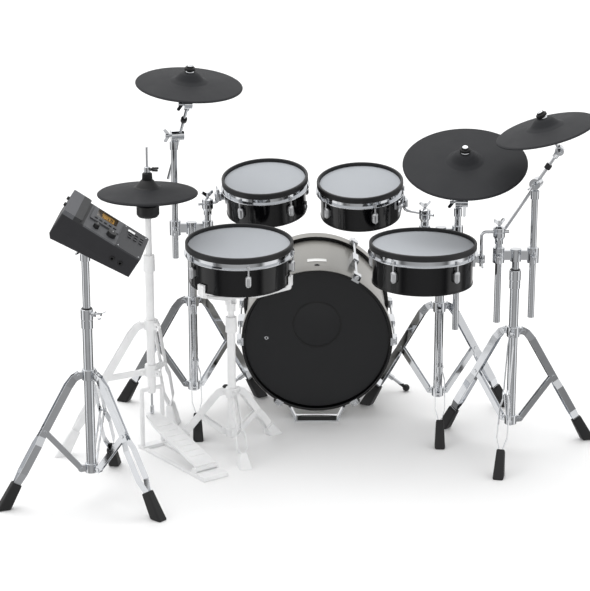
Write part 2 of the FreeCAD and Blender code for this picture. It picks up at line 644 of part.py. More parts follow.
def bass_drum():
    """Shell, heads, hoops, tension hardware and kick pad, head at the origin and axis along Z."""
    radius = BASS_R
    end = BASS_LENGTH
    shell = turned(((radius - BASS_WALL, HEAD_T, 2), (radius, HEAD_T, 2), (radius, end - HEAD_T, 2),
                    (radius - BASS_WALL, end - HEAD_T, 2)))
    head = turned(((0, 0), (radius + SKIN_OUT, 0, 1), (radius + SKIN_OUT, FLESH_TOP),
                   (radius + FLESH_OUT, FLESH_TOP),
                   (radius + FLESH_OUT, FLESH_LOW), (radius + SKIN_IN, FLESH_LOW),
                   (radius + SKIN_IN, HEAD_T),
                   (0, HEAD_T)))
    hoop_back = BASS_HOOP_DEPTH - BASS_HOOP_PROUD
    hoop = turned(((radius + BASS_HOOP_IN, -BASS_HOOP_PROUD, 2),
                   (radius + BASS_HOOP_OUT, -BASS_HOOP_PROUD, 2),
                   (radius + BASS_HOOP_OUT, hoop_back, 2), (radius + BASS_HOOP_IN, hoop_back),
                   (radius + BASS_HOOP_IN, FLESH_TOP), (radius + SKIN_OUT + RUN, FLESH_TOP),
                   (radius + SKIN_OUT + RUN, FLESH_TOP - 4), (radius + BASS_HOOP_IN, FLESH_TOP - 4)))
    other = Placement(Vector(0, 0, end), Rotation(X_AXIS, 180))
    rod_r = radius + CLAW_ROD_OUT
    hoop_r = radius + BASS_HOOP_OUT + FIT
    front = -BASS_HOOP_PROUD
    claw = slab(((hoop_r - 7, front), (hoop_r - 7, front - CLAW_T, 1), (hoop_r + 2, front - CLAW_T),
                 (rod_r + 7, front + 8), (rod_r + 7, 22, 2), (hoop_r + 1.5, 22), (hoop_r, 16),
                 (hoop_r, front)),
                CLAW_WIDTH / 2)
    claw = claw.cut(Part.makeCylinder(CLAW_ROD_R + SLIP, 60, Vector(rod_r, 0, -30)))
    key = turned(((0, front - 5), (6.5, front - 5, 1.5), (6.5, front + 1.5), (CLAW_ROD_R, front + 1.5),
                  (CLAW_ROD_R, (end - BASS_LUG_LENGTH) / 2 + 10), (0, (end - BASS_LUG_LENGTH) / 2 + 10)))
    seat = Part.makeCylinder(6.6 + SLIP, 40, Vector(rod_r, 0, front + 1.5 - 40))
    claw = claw.cut(seat)
    key = shift(key, rod_r, 0, 0)
    lug = block(radius - 4, rod_r + 8, -11, 11, (end - BASS_LUG_LENGTH) / 2, (end + BASS_LUG_LENGTH) / 2)
    lug = lug.makeFillet(6, [e for e in lug.Edges if e.BoundBox.XMin > rod_r])
    lug = lug.cut([Part.makeCylinder(radius, end), key, put(key, other)])
    hardware = []
    for index in range(CLAW_COUNT):
        turn = 360.0 / CLAW_COUNT * index
        hardware.append(spin(lug, turn))
        for piece in (claw, key):
            hardware += [spin(piece, turn), put(spin(piece, -turn), other)]
    pad = turned(((0, HEAD_T), (KICK_PAD_R, HEAD_T, 0.5), (KICK_PAD_R, KICK_PAD_T, 3), (0, KICK_PAD_T)))
    reach = math.sqrt((radius - BASS_WALL) ** 2 - 20 ** 2) - FIT
    beam = block(-reach, reach, -20, 20, KICK_PAD_T, KICK_PAD_T + 8)
    return {"shell": [shell], "heads": [head, put(head, other)], "hoops": [hoop, put(hoop, other)],
            "claws": hardware, "kick": [pad, beam]}


def spur_parts(bass, sign):
    """Bracket on the shell and folding leg of one spur."""
    axis_at = bass.multVec(Vector(0, 0, SPUR_STATION))
    turn = math.degrees(math.atan2(axis_at.z, sign * SPUR_FOOT[0]))
    hinge_x = BASS_R + SPUR_HINGE_OUT
    foot = spin_back(bass.inverse().multVec(Vector(sign * SPUR_FOOT[0], SPUR_FOOT[1], SPUR_TIP_R)), turn)
    base = block(BASS_R - 5, BASS_R + 14, -15, 15, SPUR_STATION - 22, SPUR_STATION + 22)
    ears = []
    for side in (-1, 1):
        inner = side * (9 + RUN)
        outer = side * 15
        low, high = min(inner, outer), max(inner, outer)
        ears.append(block(BASS_R + 8, hinge_x, low, high, SPUR_STATION - 12, SPUR_STATION + 12))
        ears.append(rod(Vector(hinge_x, low, SPUR_STATION), Vector(hinge_x, high, SPUR_STATION), 12))
    pin_hole = rod(Vector(hinge_x, -20, SPUR_STATION), Vector(hinge_x, 20, SPUR_STATION), 4 + RUN)
    bracket = joined(base, *ears).cut([Part.makeCylinder(BASS_R, BASS_LENGTH), pin_hole])
    middle = Vector(hinge_x, 0, SPUR_STATION)
    knuckle = rod(middle - Y_AXIS * 9, middle + Y_AXIS * 9, 10)
    pin = rod(middle - Y_AXIS * 17, middle + Y_AXIS * 17, 4)
    bar = rod(middle, foot, SPUR_ROD_R)
    tip = Part.makeSphere(SPUR_TIP_R, foot)
    leg = joined(knuckle, pin, bar, tip)
    return [put(spin(piece, turn), bass) for piece in (bracket, leg)]


def spin_back(point, degrees):
    return Rotation(Z_AXIS, -degrees).multVec(point)


def pedal_plate(bass):
    """Floor plate and saddle under the batter hoop."""
    half = PLATE_WIDTH / 2
    plate = slab(((-half, 0, 1), (half, 0, 1), (half, PLATE_T, 1), (-half, PLATE_T, 1)), PLATE_DEPTH / 2)
    saddle = block(-SADDLE_WIDTH / 2, SADDLE_WIDTH / 2, -SADDLE_DEPTH / 2, SADDLE_DEPTH / 2, PLATE_T - 1,
                   52)
    saddle = shift(saddle, 0, BASS_HOOP_PROUD + SADDLE_DEPTH / 2 - 4, 0)
    hoop = put(Part.makeCylinder(BASS_R + BASS_HOOP_OUT + FIT, BASS_LENGTH, Vector(0, 0, -60)), bass)
    return joined(shift(plate, 0, -18, 0), saddle.cut(hoop))


def hihat_stand():
    """Tubes, collars, two legs with feet, and the yoke that stands on the pedal frame."""
    tube = pipe(Vector(0, 0, YOKE_Z + YOKE_R), Vector(0, 0, HIHAT_TUBE_TOP), HIHAT_TUBE_R, HIHAT_TUBE_BORE)
    inner = pipe(Vector(0, 0, 420), Vector(0, 0, CONTROLLER_LOW), HIHAT_INNER_R, HIHAT_INNER_BORE)
    clamp = turned(((HIHAT_INNER_R + FIT, HIHAT_TUBE_TOP), (HIHAT_INNER_R + FIT, HIHAT_TUBE_TOP + 22),
                    (17, HIHAT_TUBE_TOP + 22, 2),
                    (18, HIHAT_TUBE_TOP - 30, 2), (HIHAT_TUBE_R + FIT, HIHAT_TUBE_TOP - 30),
                    (HIHAT_TUBE_R + FIT, HIHAT_TUBE_TOP)))
    upper = collar(HIHAT_TUBE_R + FIT, 20, HIHAT_COLLAR_Z - 15, HIHAT_COLLAR_Z + 17, LEG_PIVOT_R,
                   HIHAT_COLLAR_Z)
    lower = collar(HIHAT_TUBE_R + FIT, 20, HIHAT_LOW_COLLAR_Z - 14, HIHAT_LOW_COLLAR_Z + 24, BRACE_PIVOT_R,
                   HIHAT_LOW_COLLAR_Z)
    cross = rod(Vector(0, -YOKE_HALF, YOKE_Z), Vector(0, YOKE_HALF, YOKE_Z), YOKE_R)
    sides = [rod(Vector(0, s * YOKE_HALF, PLATE_T + 6), Vector(0, s * YOKE_HALF, YOKE_Z), YOKE_R)
             for s in (-1, 1)]
    knees = [Part.makeSphere(YOKE_R, Vector(0, s * YOKE_HALF, YOKE_Z)) for s in (-1, 1)]
    eye = Part.makeCylinder(12, 2 * YOKE_R + 6, Vector(0, 0, YOKE_Z - YOKE_R - 6))
    yoke = joined(cross, eye, *sides, *knees).cut(Part.makeCylinder(HIHAT_ROD_R + 1.5, 60,
                                                                    Vector(0, 0, YOKE_Z - 30)))
    pieces = [tube, inner, clamp, spin(upper, HIHAT_LEGS[1][0]), spin(lower, HIHAT_LEGS[1][0]),
              spin(yoke, PEDAL_TURN)]
    for turn, reach in HIHAT_LEGS:
        metal, foot = tripod_leg(HIHAT_COLLAR_Z, HIHAT_LOW_COLLAR_Z, reach)
        pieces += [spin(piece, turn) for piece in metal + [foot]]
    return [shift(piece, HIHAT_AXIS[0], HIHAT_AXIS[1], 0) for piece in pieces]


def pedal():
    """Pedal frame, and the footboard that turns on the heel pin."""
    half = PEDAL_WIDTH / 2
    heel = slab(((PEDAL_HINGE - 30, 0), (HEEL_END, 0, 2), (HEEL_END, 12, 4), (PEDAL_HINGE + 22, 14),
                 (PEDAL_HINGE - 30, 8)), half)
    rails = [block(-12, PEDAL_HINGE - 20, s * YOKE_HALF - 7, s * YOKE_HALF + 7, 0, PLATE_T + 2)
             for s in (-1, 1)]
    bar = block(-14, 16, -YOKE_HALF - 8, YOKE_HALF + 8, 0, PLATE_T + 6)
    ears = [slab(((PEDAL_HINGE - 9, 6), (PEDAL_HINGE + 9, 6), (PEDAL_HINGE + 7, 27, 5),
                  (PEDAL_HINGE - 7, 27, 5)), 4) for s in (-1, 1)]
    ears = [shift(ear, 0, s * (half - 4), 0) for ear, s in zip(ears, (-1, 1))]
    pin = rod(Vector(PEDAL_HINGE, 4 - half, PEDAL_HINGE_Z), Vector(PEDAL_HINGE, half - 4, PEDAL_HINGE_Z), 4)
    frame = joined(heel, bar, pin, *rails, *ears)
    slope = math.atan2(PEDAL_TOE_Z - PEDAL_HINGE_Z, PEDAL_HINGE - PEDAL_TOE)
    length = (PEDAL_HINGE - PEDAL_TOE) / math.cos(slope)
    board_half = half - 8 - RUN
    board = Part.Face(board_outline(length, board_half)).extrude(Vector(0, 0, PEDAL_T))
    board = shift(board, 0, 0, 6)
    knuckle = rod(Vector(0, -board_half, 0), Vector(0, board_half, 0), 8)
    board = joined(board, knuckle).cut(rod(Vector(0, -half, 0), Vector(0, half, 0), 4 + SLIP))
    board = put(board, Placement(Vector(PEDAL_HINGE, 0, PEDAL_HINGE_Z),
                                 Rotation(Y_AXIS, math.degrees(slope))))
    place = Placement(Vector(HIHAT_AXIS[0], HIHAT_AXIS[1], 0), Rotation(Z_AXIS, PEDAL_TURN))
    return [put(frame, place)], [put(board, place)]


def board_outline(length, half):
    """Outline of the footboard in its own plane: narrow at the toe and rounded at both ends."""
    wire = outline(((-length, -half * 0.55, 14), (-length * 0.75, -half), (0, -half), (0, half),
                    (-length * 0.75, half), (-length, half * 0.55, 14)))
    return wire.rotated(CENTRE, X_AXIS, 90)


def hihat_moving():
    """Pull rod with link and clutch, and the pad that hangs on it."""
    clutch = HIHAT_EDGE_Z + CYMBAL_RISE + HUB_HALF
    pull = turned(((0, HIHAT_LINK_Z), (6, HIHAT_LINK_Z, 1), (6, HIHAT_LINK_Z + 22, 2),
                   (HIHAT_ROD_R, HIHAT_LINK_Z + 26),
                   (HIHAT_ROD_R, HIHAT_ROD_TOP, 1), (0, HIHAT_ROD_TOP)))
    sleeve = turned(((HIHAT_ROD_R + FIT, clutch), (13, clutch), (13, clutch + 7, 2), (8, clutch + 9),
                     (8, clutch + 22),
                     (10, clutch + 24), (10, clutch + 40, 2), (HIHAT_ROD_R + FIT, clutch + 40)))
    bolt = wing_bolt(Vector(10, 0, clutch + 32), X_AXIS, 90)
    edge = -CYMBAL_RISE
    pad = turned(((HIHAT_ROD_R + FIT, HUB_HALF), (18, HUB_HALF, 8), (HIHAT_BELL_R - 6, edge + 19, 10),
                  (HIHAT_BELL_R + 6, edge + 16, 8), (HIHAT_R * 0.62, edge + 9, 200),
                  (HIHAT_R - 5, edge + 2, 4),
                  (HIHAT_R, edge - 2, 2), (HIHAT_R - 2, edge - 6, 1), (HIHAT_R - 10, edge - 6),
                  (HIHAT_R * 0.6, edge + 1, 100), (62, edge + 2), (62, edge - 10, 2),
                  (HIHAT_ROD_R + FIT, edge - 10)))
    place = Placement(Vector(HIHAT_AXIS[0], HIHAT_AXIS[1], HIHAT_EDGE_Z + CYMBAL_RISE), Rotation())
    moved = [shift(piece, HIHAT_AXIS[0], HIHAT_AXIS[1], 0) for piece in (pull, sleeve, bolt)]
    return moved, [put(pad, place)]


def hihat_controller():
    base = turned(((HIHAT_ROD_R + 1.5, CONTROLLER_LOW), (CONTROLLER_R - 6, CONTROLLER_LOW, 2),
                   (CONTROLLER_R, CONTROLLER_LOW + 8, 2),
                   (CONTROLLER_R, CONTROLLER_TOP - 7, 2), (CONTROLLER_R - 5, CONTROLLER_TOP, 2),
                   (HIHAT_ROD_R + 1.5, CONTROLLER_TOP)))
    return [shift(base, HIHAT_AXIS[0], HIHAT_AXIS[1], 0)]


def basket_turn(drum):
    """Turn of the basket's hinge, square to the line from the stand to the drum's middle."""
    middle = drum.multVec(Vector(0, 0, -SNARE_DEPTH - BASKET_DROP))
    return math.degrees(math.atan2(middle.y - SNARE_STAND[1], middle.x - SNARE_STAND[0])) + 90


def snare_stand(drum):
    """Tube with an inner tube, tilter fork, collars, three legs and feet."""
    tube = pipe(Vector(0, 0, SNARE_LOW_COLLAR_Z - 16), Vector(0, 0, SNARE_TUBE_TOP), SNARE_TUBE_R,
                SNARE_INNER_R + 0.6)
    inner = rod(Vector(0, 0, 250), Vector(0, 0, BASKET_PIVOT_Z - 26), SNARE_INNER_R)
    clamp = turned(((SNARE_INNER_R + FIT, SNARE_TUBE_TOP), (SNARE_INNER_R + FIT, SNARE_TUBE_TOP + 20),
                    (17, SNARE_TUBE_TOP + 20, 2),
                    (18, SNARE_TUBE_TOP - 30, 2), (SNARE_TUBE_R + FIT, SNARE_TUBE_TOP - 30),
                    (SNARE_TUBE_R + FIT, SNARE_TUBE_TOP)))
    fork = turned(((0, BASKET_PIVOT_Z - 26), (SNARE_INNER_R + FIT, BASKET_PIVOT_Z - 26),
                   (SNARE_INNER_R + FIT, BASKET_PIVOT_Z - 46),
                   (14, BASKET_PIVOT_Z - 46, 1), (14, BASKET_PIVOT_Z - 22), (0, BASKET_PIVOT_Z - 22)))
    cheeks = []
    for side in (-1, 1):
        low, high = sorted((side * (9 + RUN), side * 14))
        cheeks.append(block(low, high, -11, 11, BASKET_PIVOT_Z - 26, BASKET_PIVOT_Z))
        cheeks.append(rod(Vector(low, 0, BASKET_PIVOT_Z), Vector(high, 0, BASKET_PIVOT_Z), 11))
    hole = rod(Vector(-20, 0, BASKET_PIVOT_Z), Vector(20, 0, BASKET_PIVOT_Z), 4 + SLIP)
    fork = spin(joined(fork, *cheeks).cut(hole), basket_turn(drum))
    upper = collar(SNARE_TUBE_R + FIT, 19, SNARE_COLLAR_Z - 15, SNARE_COLLAR_Z + 17, LEG_PIVOT_R,
                   SNARE_COLLAR_Z)
    lower = collar(SNARE_TUBE_R + FIT, 19, SNARE_LOW_COLLAR_Z - 16, SNARE_LOW_COLLAR_Z + 12, BRACE_PIVOT_R,
                   SNARE_LOW_COLLAR_Z)
    metal, foot = tripod_leg(SNARE_COLLAR_Z, SNARE_LOW_COLLAR_Z, SNARE_STAND_REACH)
    pieces = [tube, inner, clamp, fork, spin(upper, SNARE_STAND_LEGS), spin(lower, SNARE_STAND_LEGS)]
    for turn in (0, 120, 240):
        pieces += [spin(piece, SNARE_STAND_LEGS + turn) for piece in metal + [foot]]
    return [shift(piece, SNARE_STAND[0], SNARE_STAND[1], 0) for piece in pieces]


def snare_basket(drum):
    """Tilting hub and three arms whose grips hold the drum's lower edge."""
    pivot = Vector(SNARE_STAND[0], SNARE_STAND[1], BASKET_PIVOT_Z)
    low = -SNARE_DEPTH - BASKET_DROP
    hub = put(Part.makeCylinder(22, 18, Vector(0, 0, low - 9)), drum)
    middle = drum.multVec(Vector(0, 0, low))
    neck = rod(pivot, middle, 8)
    hinge = Rotation(Z_AXIS, basket_turn(drum)).multVec(X_AXIS)
    knuckle = rod(pivot - hinge * 9, pivot + hinge * 9, 10)
    pin = rod(pivot - hinge * 17, pivot + hinge * 17, 4)
    arms = []
    edge = SNARE_R + SHELL_TRIM + SLIP
    for turn in BASKET_ARMS:
        bar = slab(((14, low - 6), (60, low - 6), (edge + 6, -SNARE_DEPTH - GRIP_T - 7),
                    (edge + 6, -SNARE_DEPTH - GRIP_T + 1),
                    (58, low + 6), (14, low + 6)), 7)
        grip = slab(((edge - 16, -SNARE_DEPTH - GRIP_T, 2), (edge + 9, -SNARE_DEPTH - GRIP_T, 3),
                     (edge + 9, -SNARE_DEPTH + 26, 3),
                     (edge + 0.8, -SNARE_DEPTH + 26), (edge + 0.8, -SNARE_DEPTH),
                     (edge - 16, -SNARE_DEPTH)), GRIP_WIDTH / 2)
        arms += [put(spin(piece, turn), drum) for piece in (bar, grip)]
    return [joined(hub, neck, knuckle, pin, *arms)]


def module_parts(place, hinge):
    """Case, screen, buttons, dial, volume knob and mount of the sound module."""
    half_w = MODULE_W / 2
    half_d = MODULE_D / 2
    half_h = MODULE_H / 2
    panel = half_h - PANEL_DROP
    body = block(-half_w, half_w, -half_d, half_d, -half_h, panel)
    body = body.makeFillet(7, [e for e in body.Edges if e.BoundBox.ZLength > 1])
    side = block(-half_w, SIDE_BLOCK_W - half_w, -half_d, half_d, -half_h + 6, half_h)
    side = side.makeFillet(6, [e for e in side.Edges if e.BoundBox.ZLength > 1])
    bezel = block(BEZEL_X - BEZEL_W / 2, BEZEL_X + BEZEL_W / 2, BEZEL_Y - BEZEL_D / 2,
                  BEZEL_Y + BEZEL_D / 2, panel - 3, panel + BEZEL_H)
    bezel = bezel.makeFillet(5, [e for e in bezel.Edges if e.BoundBox.ZLength > 1])
    screen_low = panel + BEZEL_H - SCREEN_T
    screen = block(BEZEL_X - SCREEN_W / 2, BEZEL_X + SCREEN_W / 2, BEZEL_Y - 6, BEZEL_Y - 6 + SCREEN_D,
                   screen_low, panel + BEZEL_H)
    row_y = BEZEL_Y - BEZEL_D / 2 + 15
    spots = [(BEZEL_X + (index - 2) * 15.0, row_y, panel + BEZEL_H) for index in range(5)]
    spots += [(72.0 + column * 18.0, 44.0 - line * 16.0, panel) for column in range(3) for line in range(3)]
    buttons = []
    wells = []
    for x, y, z in spots:
        buttons.append(block(x - BUTTON_W / 2, x + BUTTON_W / 2, y - BUTTON_D / 2, y + BUTTON_D / 2,
                             z - BUTTON_SINK, z + BUTTON_H))
        gap = 0.4
        wells.append(block(x - BUTTON_W / 2 - gap, x + BUTTON_W / 2 + gap, y - BUTTON_D / 2 - gap,
                           y + BUTTON_D / 2 + gap, z - 8, z + 9))
    dial = knob(DIAL_R, DIAL_H)
    volume = knob(VOLUME_R, DIAL_H)
    shafts = [Part.makeCylinder(KNOB_SHAFT_R + SLIP, 12, Vector(x, y, panel - 9)) for x,
              y in (DIAL_AT, VOLUME_AT)]
    jacks = [rod(Vector(x, -half_d - 5, -14), Vector(x, 25 - half_d, -14), JACK_R) for x in (58.0, 84.0)]
    case = joined(body, side, bezel).cut([screen] + wells + shafts + jacks)
    plate = block(MOUNT_HINGE_X - 45, MOUNT_HINGE_X + 45, -36, 36, -half_h - MOUNT_PLATE_T, -half_h)
    hinge_z = -half_h - MOUNT_HINGE_DROP
    cheeks = []
    for sign in (-1, 1):
        low, high = sorted((sign * (KNUCKLE_HALF + RUN), sign * (KNUCKLE_HALF + RUN + CHEEK_T)))
        cheeks.append(block(MOUNT_HINGE_X - 14, MOUNT_HINGE_X + 14, low, high, hinge_z, -half_h - 1))
        cheeks.append(rod(Vector(MOUNT_HINGE_X, low, hinge_z), Vector(MOUNT_HINGE_X, high, hinge_z), 14))
    pin = rod(Vector(MOUNT_HINGE_X, -30, hinge_z), Vector(MOUNT_HINGE_X, 24, hinge_z), 4)
    mount = joined(plate, pin, *cheeks)
    bolt = wing_bolt(Vector(MOUNT_HINGE_X, -30, hinge_z), -Y_AXIS, 60)
    groups = {"module_case": [case], "module_screen": [screen], "module_buttons": buttons,
              "module_dial": [shift(dial, DIAL_AT[0], DIAL_AT[1], panel)],
              "module_volume": [shift(volume, VOLUME_AT[0], VOLUME_AT[1], panel)],
              "module_mount": [mount, bolt]}
    top = turned(((0, -25), (MAST_R + FIT, -25), (MAST_R + FIT, -48), (14.5, -48, 1), (14.5, -26, 3),
                  (8, -20), (8, 0), (0, 0)))
    axis = place.Rotation.multVec(Y_AXIS)
    neck = shift(top, *hinge)
    lump = rod(hinge - axis * KNUCKLE_HALF, hinge + axis * KNUCKLE_HALF, KNUCKLE_R)
    hole = rod(hinge - axis * 40, hinge + axis * 40, 4 + SLIP)
    tube = pipe(Vector(hinge.x, hinge.y, MAST_LOW), Vector(hinge.x, hinge.y, hinge.z - 25), MAST_R,
                MAST_BORE)
    placed = {name: [put(piece, place) for piece in pieces] for name, pieces in groups.items()}
    placed["module_mast"] = [tube, joined(neck, lump).cut(hole)]
    return placed


def knob(radius, height):
    return turned(((0, -7), (KNOB_SHAFT_R, -7), (KNOB_SHAFT_R, RUN), (radius, RUN),
                   (radius - 1, height, 1.5), (0, height)))


def build():
    nodes = {}
    bass = Placement(Vector(0, 0, BASS_HEIGHT), Rotation(X_AXIS, BASS_TILT - 90))
    for name, pieces in bass_drum().items():
        nodes["bass_" + name] = [put(piece, bass) for piece in pieces]
    nodes["bass_pedal_plate"] = [pedal_plate(bass)]
    for name, sign in (("spur_left", -1), ("spur_right", 1)):
        bracket, leg = spur_parts(bass, sign)
        nodes["bass_claws"].append(bracket)
        nodes[name] = [leg]
    stands = ((MODULE_STAND, MODULE_LEGS, -20), (LEFT_STAND, LEFT_LEGS, 90),
              (CENTRE_STAND, CENTRE_LEGS, 90), (RIGHT_STAND, RIGHT_LEGS, 90))
    for group in ("stand_tubes", "stand_collars", "stand_legs", "stand_feet"):
        nodes[group] = []
    for centre, legs, bolt in stands:
        tube, collars, metal, feet = tripod(centre, legs, bolt)
        nodes["stand_tubes"].append(tube)
        nodes["stand_collars"] += collars
        nodes["stand_legs"] += metal
        nodes["stand_feet"] += feet
    drums = {"snare": (SNARE_AT, SNARE_LEAN, SNARE_R, SNARE_DEPTH, SNARE_LUG_START),
             "tom_left": (TOM_LEFT_AT, TOM_LEFT_LEAN, TOM_R, TOM_DEPTH, TOM_LEFT_LUG_START),
             "tom_right": (TOM_RIGHT_AT, TOM_RIGHT_LEAN, TOM_R, TOM_DEPTH, TOM_RIGHT_LUG_START),
             "floor_tom": (FLOOR_AT, FLOOR_LEAN, SNARE_R, FLOOR_DEPTH, FLOOR_LUG_START)}
    places = {}
    for name, (point, lean, radius, depth, lugs) in drums.items():
        places[name] = leaning(point, lean)
        for piece, shapes in small_drum(radius, depth, lugs).items():
            nodes[name + "_" + piece] = [put(shape, places[name]) for shape in shapes]
    nodes["snare_basket"] = snare_basket(places["snare"])
    nodes["snare_stand"] = snare_stand(places["snare"])
    sides = {"left": (LEFT_STAND, -1, LEFT_BOOM_Z, LEFT_ARM_Z, LEFT_POST_LOW, "tom_left", TOM_R, TOM_EYE_Z,
                      "crash_left", CRASH_LEFT_AT, CRASH_LEFT_LEAN, CRASH_LEFT_ASIDE, CRASH_LEFT_R,
                      CRASH_LEFT_TAIL),
             "centre": (CENTRE_STAND, 1, CENTRE_BOOM_Z, CENTRE_ARM_Z, CENTRE_POST_LOW, "tom_right", TOM_R,
                        TOM_EYE_Z,
                        "ride", RIDE_AT, RIDE_LEAN, RIDE_ASIDE, RIDE_R, RIDE_TAIL),
             "right": (RIGHT_STAND, 1, RIGHT_BOOM_Z, RIGHT_ARM_Z, RIGHT_POST_LOW, "floor_tom", SNARE_R,
                       FLOOR_EYE_Z,
                       "crash_right", CRASH_RIGHT_AT, CRASH_RIGHT_LEAN, CRASH_RIGHT_ASIDE, CRASH_RIGHT_R,
                       CRASH_RIGHT_TAIL)}
    for side, values in sides.items():
        stand, sign, boom_z, arm_z, lows, tom, tom_r, eye_z, name, edge, lean, aside, pad_r, tail = values
        holder = Vector(stand[0] - sign * TWIN_HALF, stand[1], arm_z)
        post = Vector(stand[0] + sign * TWIN_HALF, stand[1], boom_z)
        turn = arm_path(holder, places[tom])[0]
        arm_run = places[tom].Rotation.multVec(Rotation(Z_AXIS, turn).multVec(X_AXIS))
        seat, ball = boom_seat(edge, lean, aside)
        hinge = boom_line(post, seat)[0]
        nodes[side + "_mast"] = mast(stand, sign, boom_z, hinge, arm_z, arm_run, lows)
        nodes[tom + "_arm"] = tom_arm(tom_r, eye_z, holder, places[tom])
        nodes[name + "_boom"] = boom(post, seat, ball, tail)
        nodes[name + "_pad"] = cymbal(pad_r, leaning(ball, lean))
    nodes["hihat_stand"] = hihat_stand()
    nodes["hihat_pedal_frame"], nodes["hihat_footboard"] = pedal()
    nodes["hihat_rod"], nodes["hihat_pad"] = hihat_moving()
    nodes["hihat_controller"] = hihat_controller()
    hinge = Vector(MODULE_STAND[0], MODULE_STAND[1], MODULE_HINGE_Z)
    place = leaning(hinge, MODULE_LEAN)
    place.Base = place.multVec(Vector(-MOUNT_HINGE_X, 0, MODULE_H / 2 + MOUNT_HINGE_DROP))
    nodes.update(module_parts(place, hinge))
    return nodes


os.makedirs("parts", exist_ok=True)
for node, solids in build().items():
    shape = solids[0] if len(solids) == 1 else Part.makeCompound(solids)
    shape.exportStep("parts/" + node + ".step")
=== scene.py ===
"""Looks of an electronic drum kit: finishes, small fittings, floor, light and camera."""

import logging
import math
from dataclasses import dataclass, replace
from enum import Enum
from typing import Sequence

import bmesh
import bpy
from mathutils import Matrix, Vector


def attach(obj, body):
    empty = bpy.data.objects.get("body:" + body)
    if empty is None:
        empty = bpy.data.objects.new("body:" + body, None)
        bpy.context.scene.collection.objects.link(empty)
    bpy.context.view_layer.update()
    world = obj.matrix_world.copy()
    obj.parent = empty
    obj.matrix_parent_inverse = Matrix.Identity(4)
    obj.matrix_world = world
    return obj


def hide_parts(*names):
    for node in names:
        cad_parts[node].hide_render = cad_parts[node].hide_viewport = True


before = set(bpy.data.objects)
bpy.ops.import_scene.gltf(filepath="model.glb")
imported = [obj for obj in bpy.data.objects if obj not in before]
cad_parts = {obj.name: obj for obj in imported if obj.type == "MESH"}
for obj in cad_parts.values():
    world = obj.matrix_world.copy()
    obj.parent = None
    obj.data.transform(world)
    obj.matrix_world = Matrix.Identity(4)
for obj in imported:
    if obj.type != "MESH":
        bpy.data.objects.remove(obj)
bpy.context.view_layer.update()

Point = Sequence[float]
Profile = Sequence[tuple[float, float]]
Pair = tuple[float, float]
Colour = tuple[float, float, float, float]
Tree = bpy.types.NodeTree
Node = bpy.types.Node
Socket = bpy.types.NodeSocket
Shape = bmesh.types.BMesh

LOG = logging.getLogger("drum_kit")
MM = 0.001
IDENTITY = Matrix.Identity(4)
SHARP = math.radians(32)
COAT_ROUGHNESS = 0.04
BUMP_STRENGTH = 0.6


class Slot(Enum):
    """Material slots of the record; no piece here takes its finish from them."""

    CHROME = "chrome"
    RUBBER = "rim_rubber"
    FILM = "black_film"
    PALE = "pale_coat"
    PLASTIC = "black_plastic"
    MODULE = "module_plastic"
    KEY = "button_plastic"


def srgb(code: str) -> Colour:
    """Turn an sRGB hex code into linear red, green, blue and alpha.

    Args:
        code: Six hex digits after a hash sign.

    Returns:
        Linear colour with full alpha.
    """
    parts = [int(code[start:start + 2], 16) / 255 for start in (1, 3, 5)]
    linear = [part / 12.92 if part <= 0.04045 else ((part + 0.055) / 1.055) ** 2.4 for part in parts]
    return (linear[0], linear[1], linear[2], 1.0)


def add(tree: Tree, kind: str, inputs: dict | None = None, **options: object) -> Node:
    """Add one node, set its options and fill its inputs.

    Args:
        tree: Node tree that gets the node.
        kind: Blender's name for the node type.
        inputs: For each input, by name or number, a value or the output socket to link.
        options: Attributes of the node itself.

    Returns:
        The new node.
    """
    node = tree.nodes.new(kind)
    for name, value in options.items():
        setattr(node, name, value)
    for key, value in (inputs or {}).items():
        if isinstance(value, Socket):
            tree.links.new(value, node.inputs[key])
        else:
            node.inputs[key].default_value = value
    return node


def from_axis(tree: Tree, spot: Socket) -> Socket:
    """Measure how far a spot lies from the pattern's own Z axis.

    Args:
        tree: Node tree of the material.
        spot: Place in the pattern, in millimetres.

    Returns:
        The distance, in millimetres.
    """
    flat = add(tree, "ShaderNodeVectorMath", {0: spot, 1: (1.0, 1.0, 0.0)}, operation="MULTIPLY")
    reach = add(tree, "ShaderNodeVectorMath", {0: flat.outputs["Vector"]}, operation="LENGTH")
    return reach.outputs["Value"]


def set_stops(ramp: Node, stops: Sequence[tuple[float, Colour]]) -> None:
    """Give a new colour ramp its stops.

    Args:
        ramp: Colour ramp that still has its first two stops.
        stops: Place from 0 to 1 and colour of each stop, in order.
    """
    elements = ramp.color_ramp.elements
    for index, (where, colour) in enumerate(stops):
        stop = elements.new(where) if index else elements[0]
        stop.position = where
        stop.color = colour
    elements.remove(elements[-1])


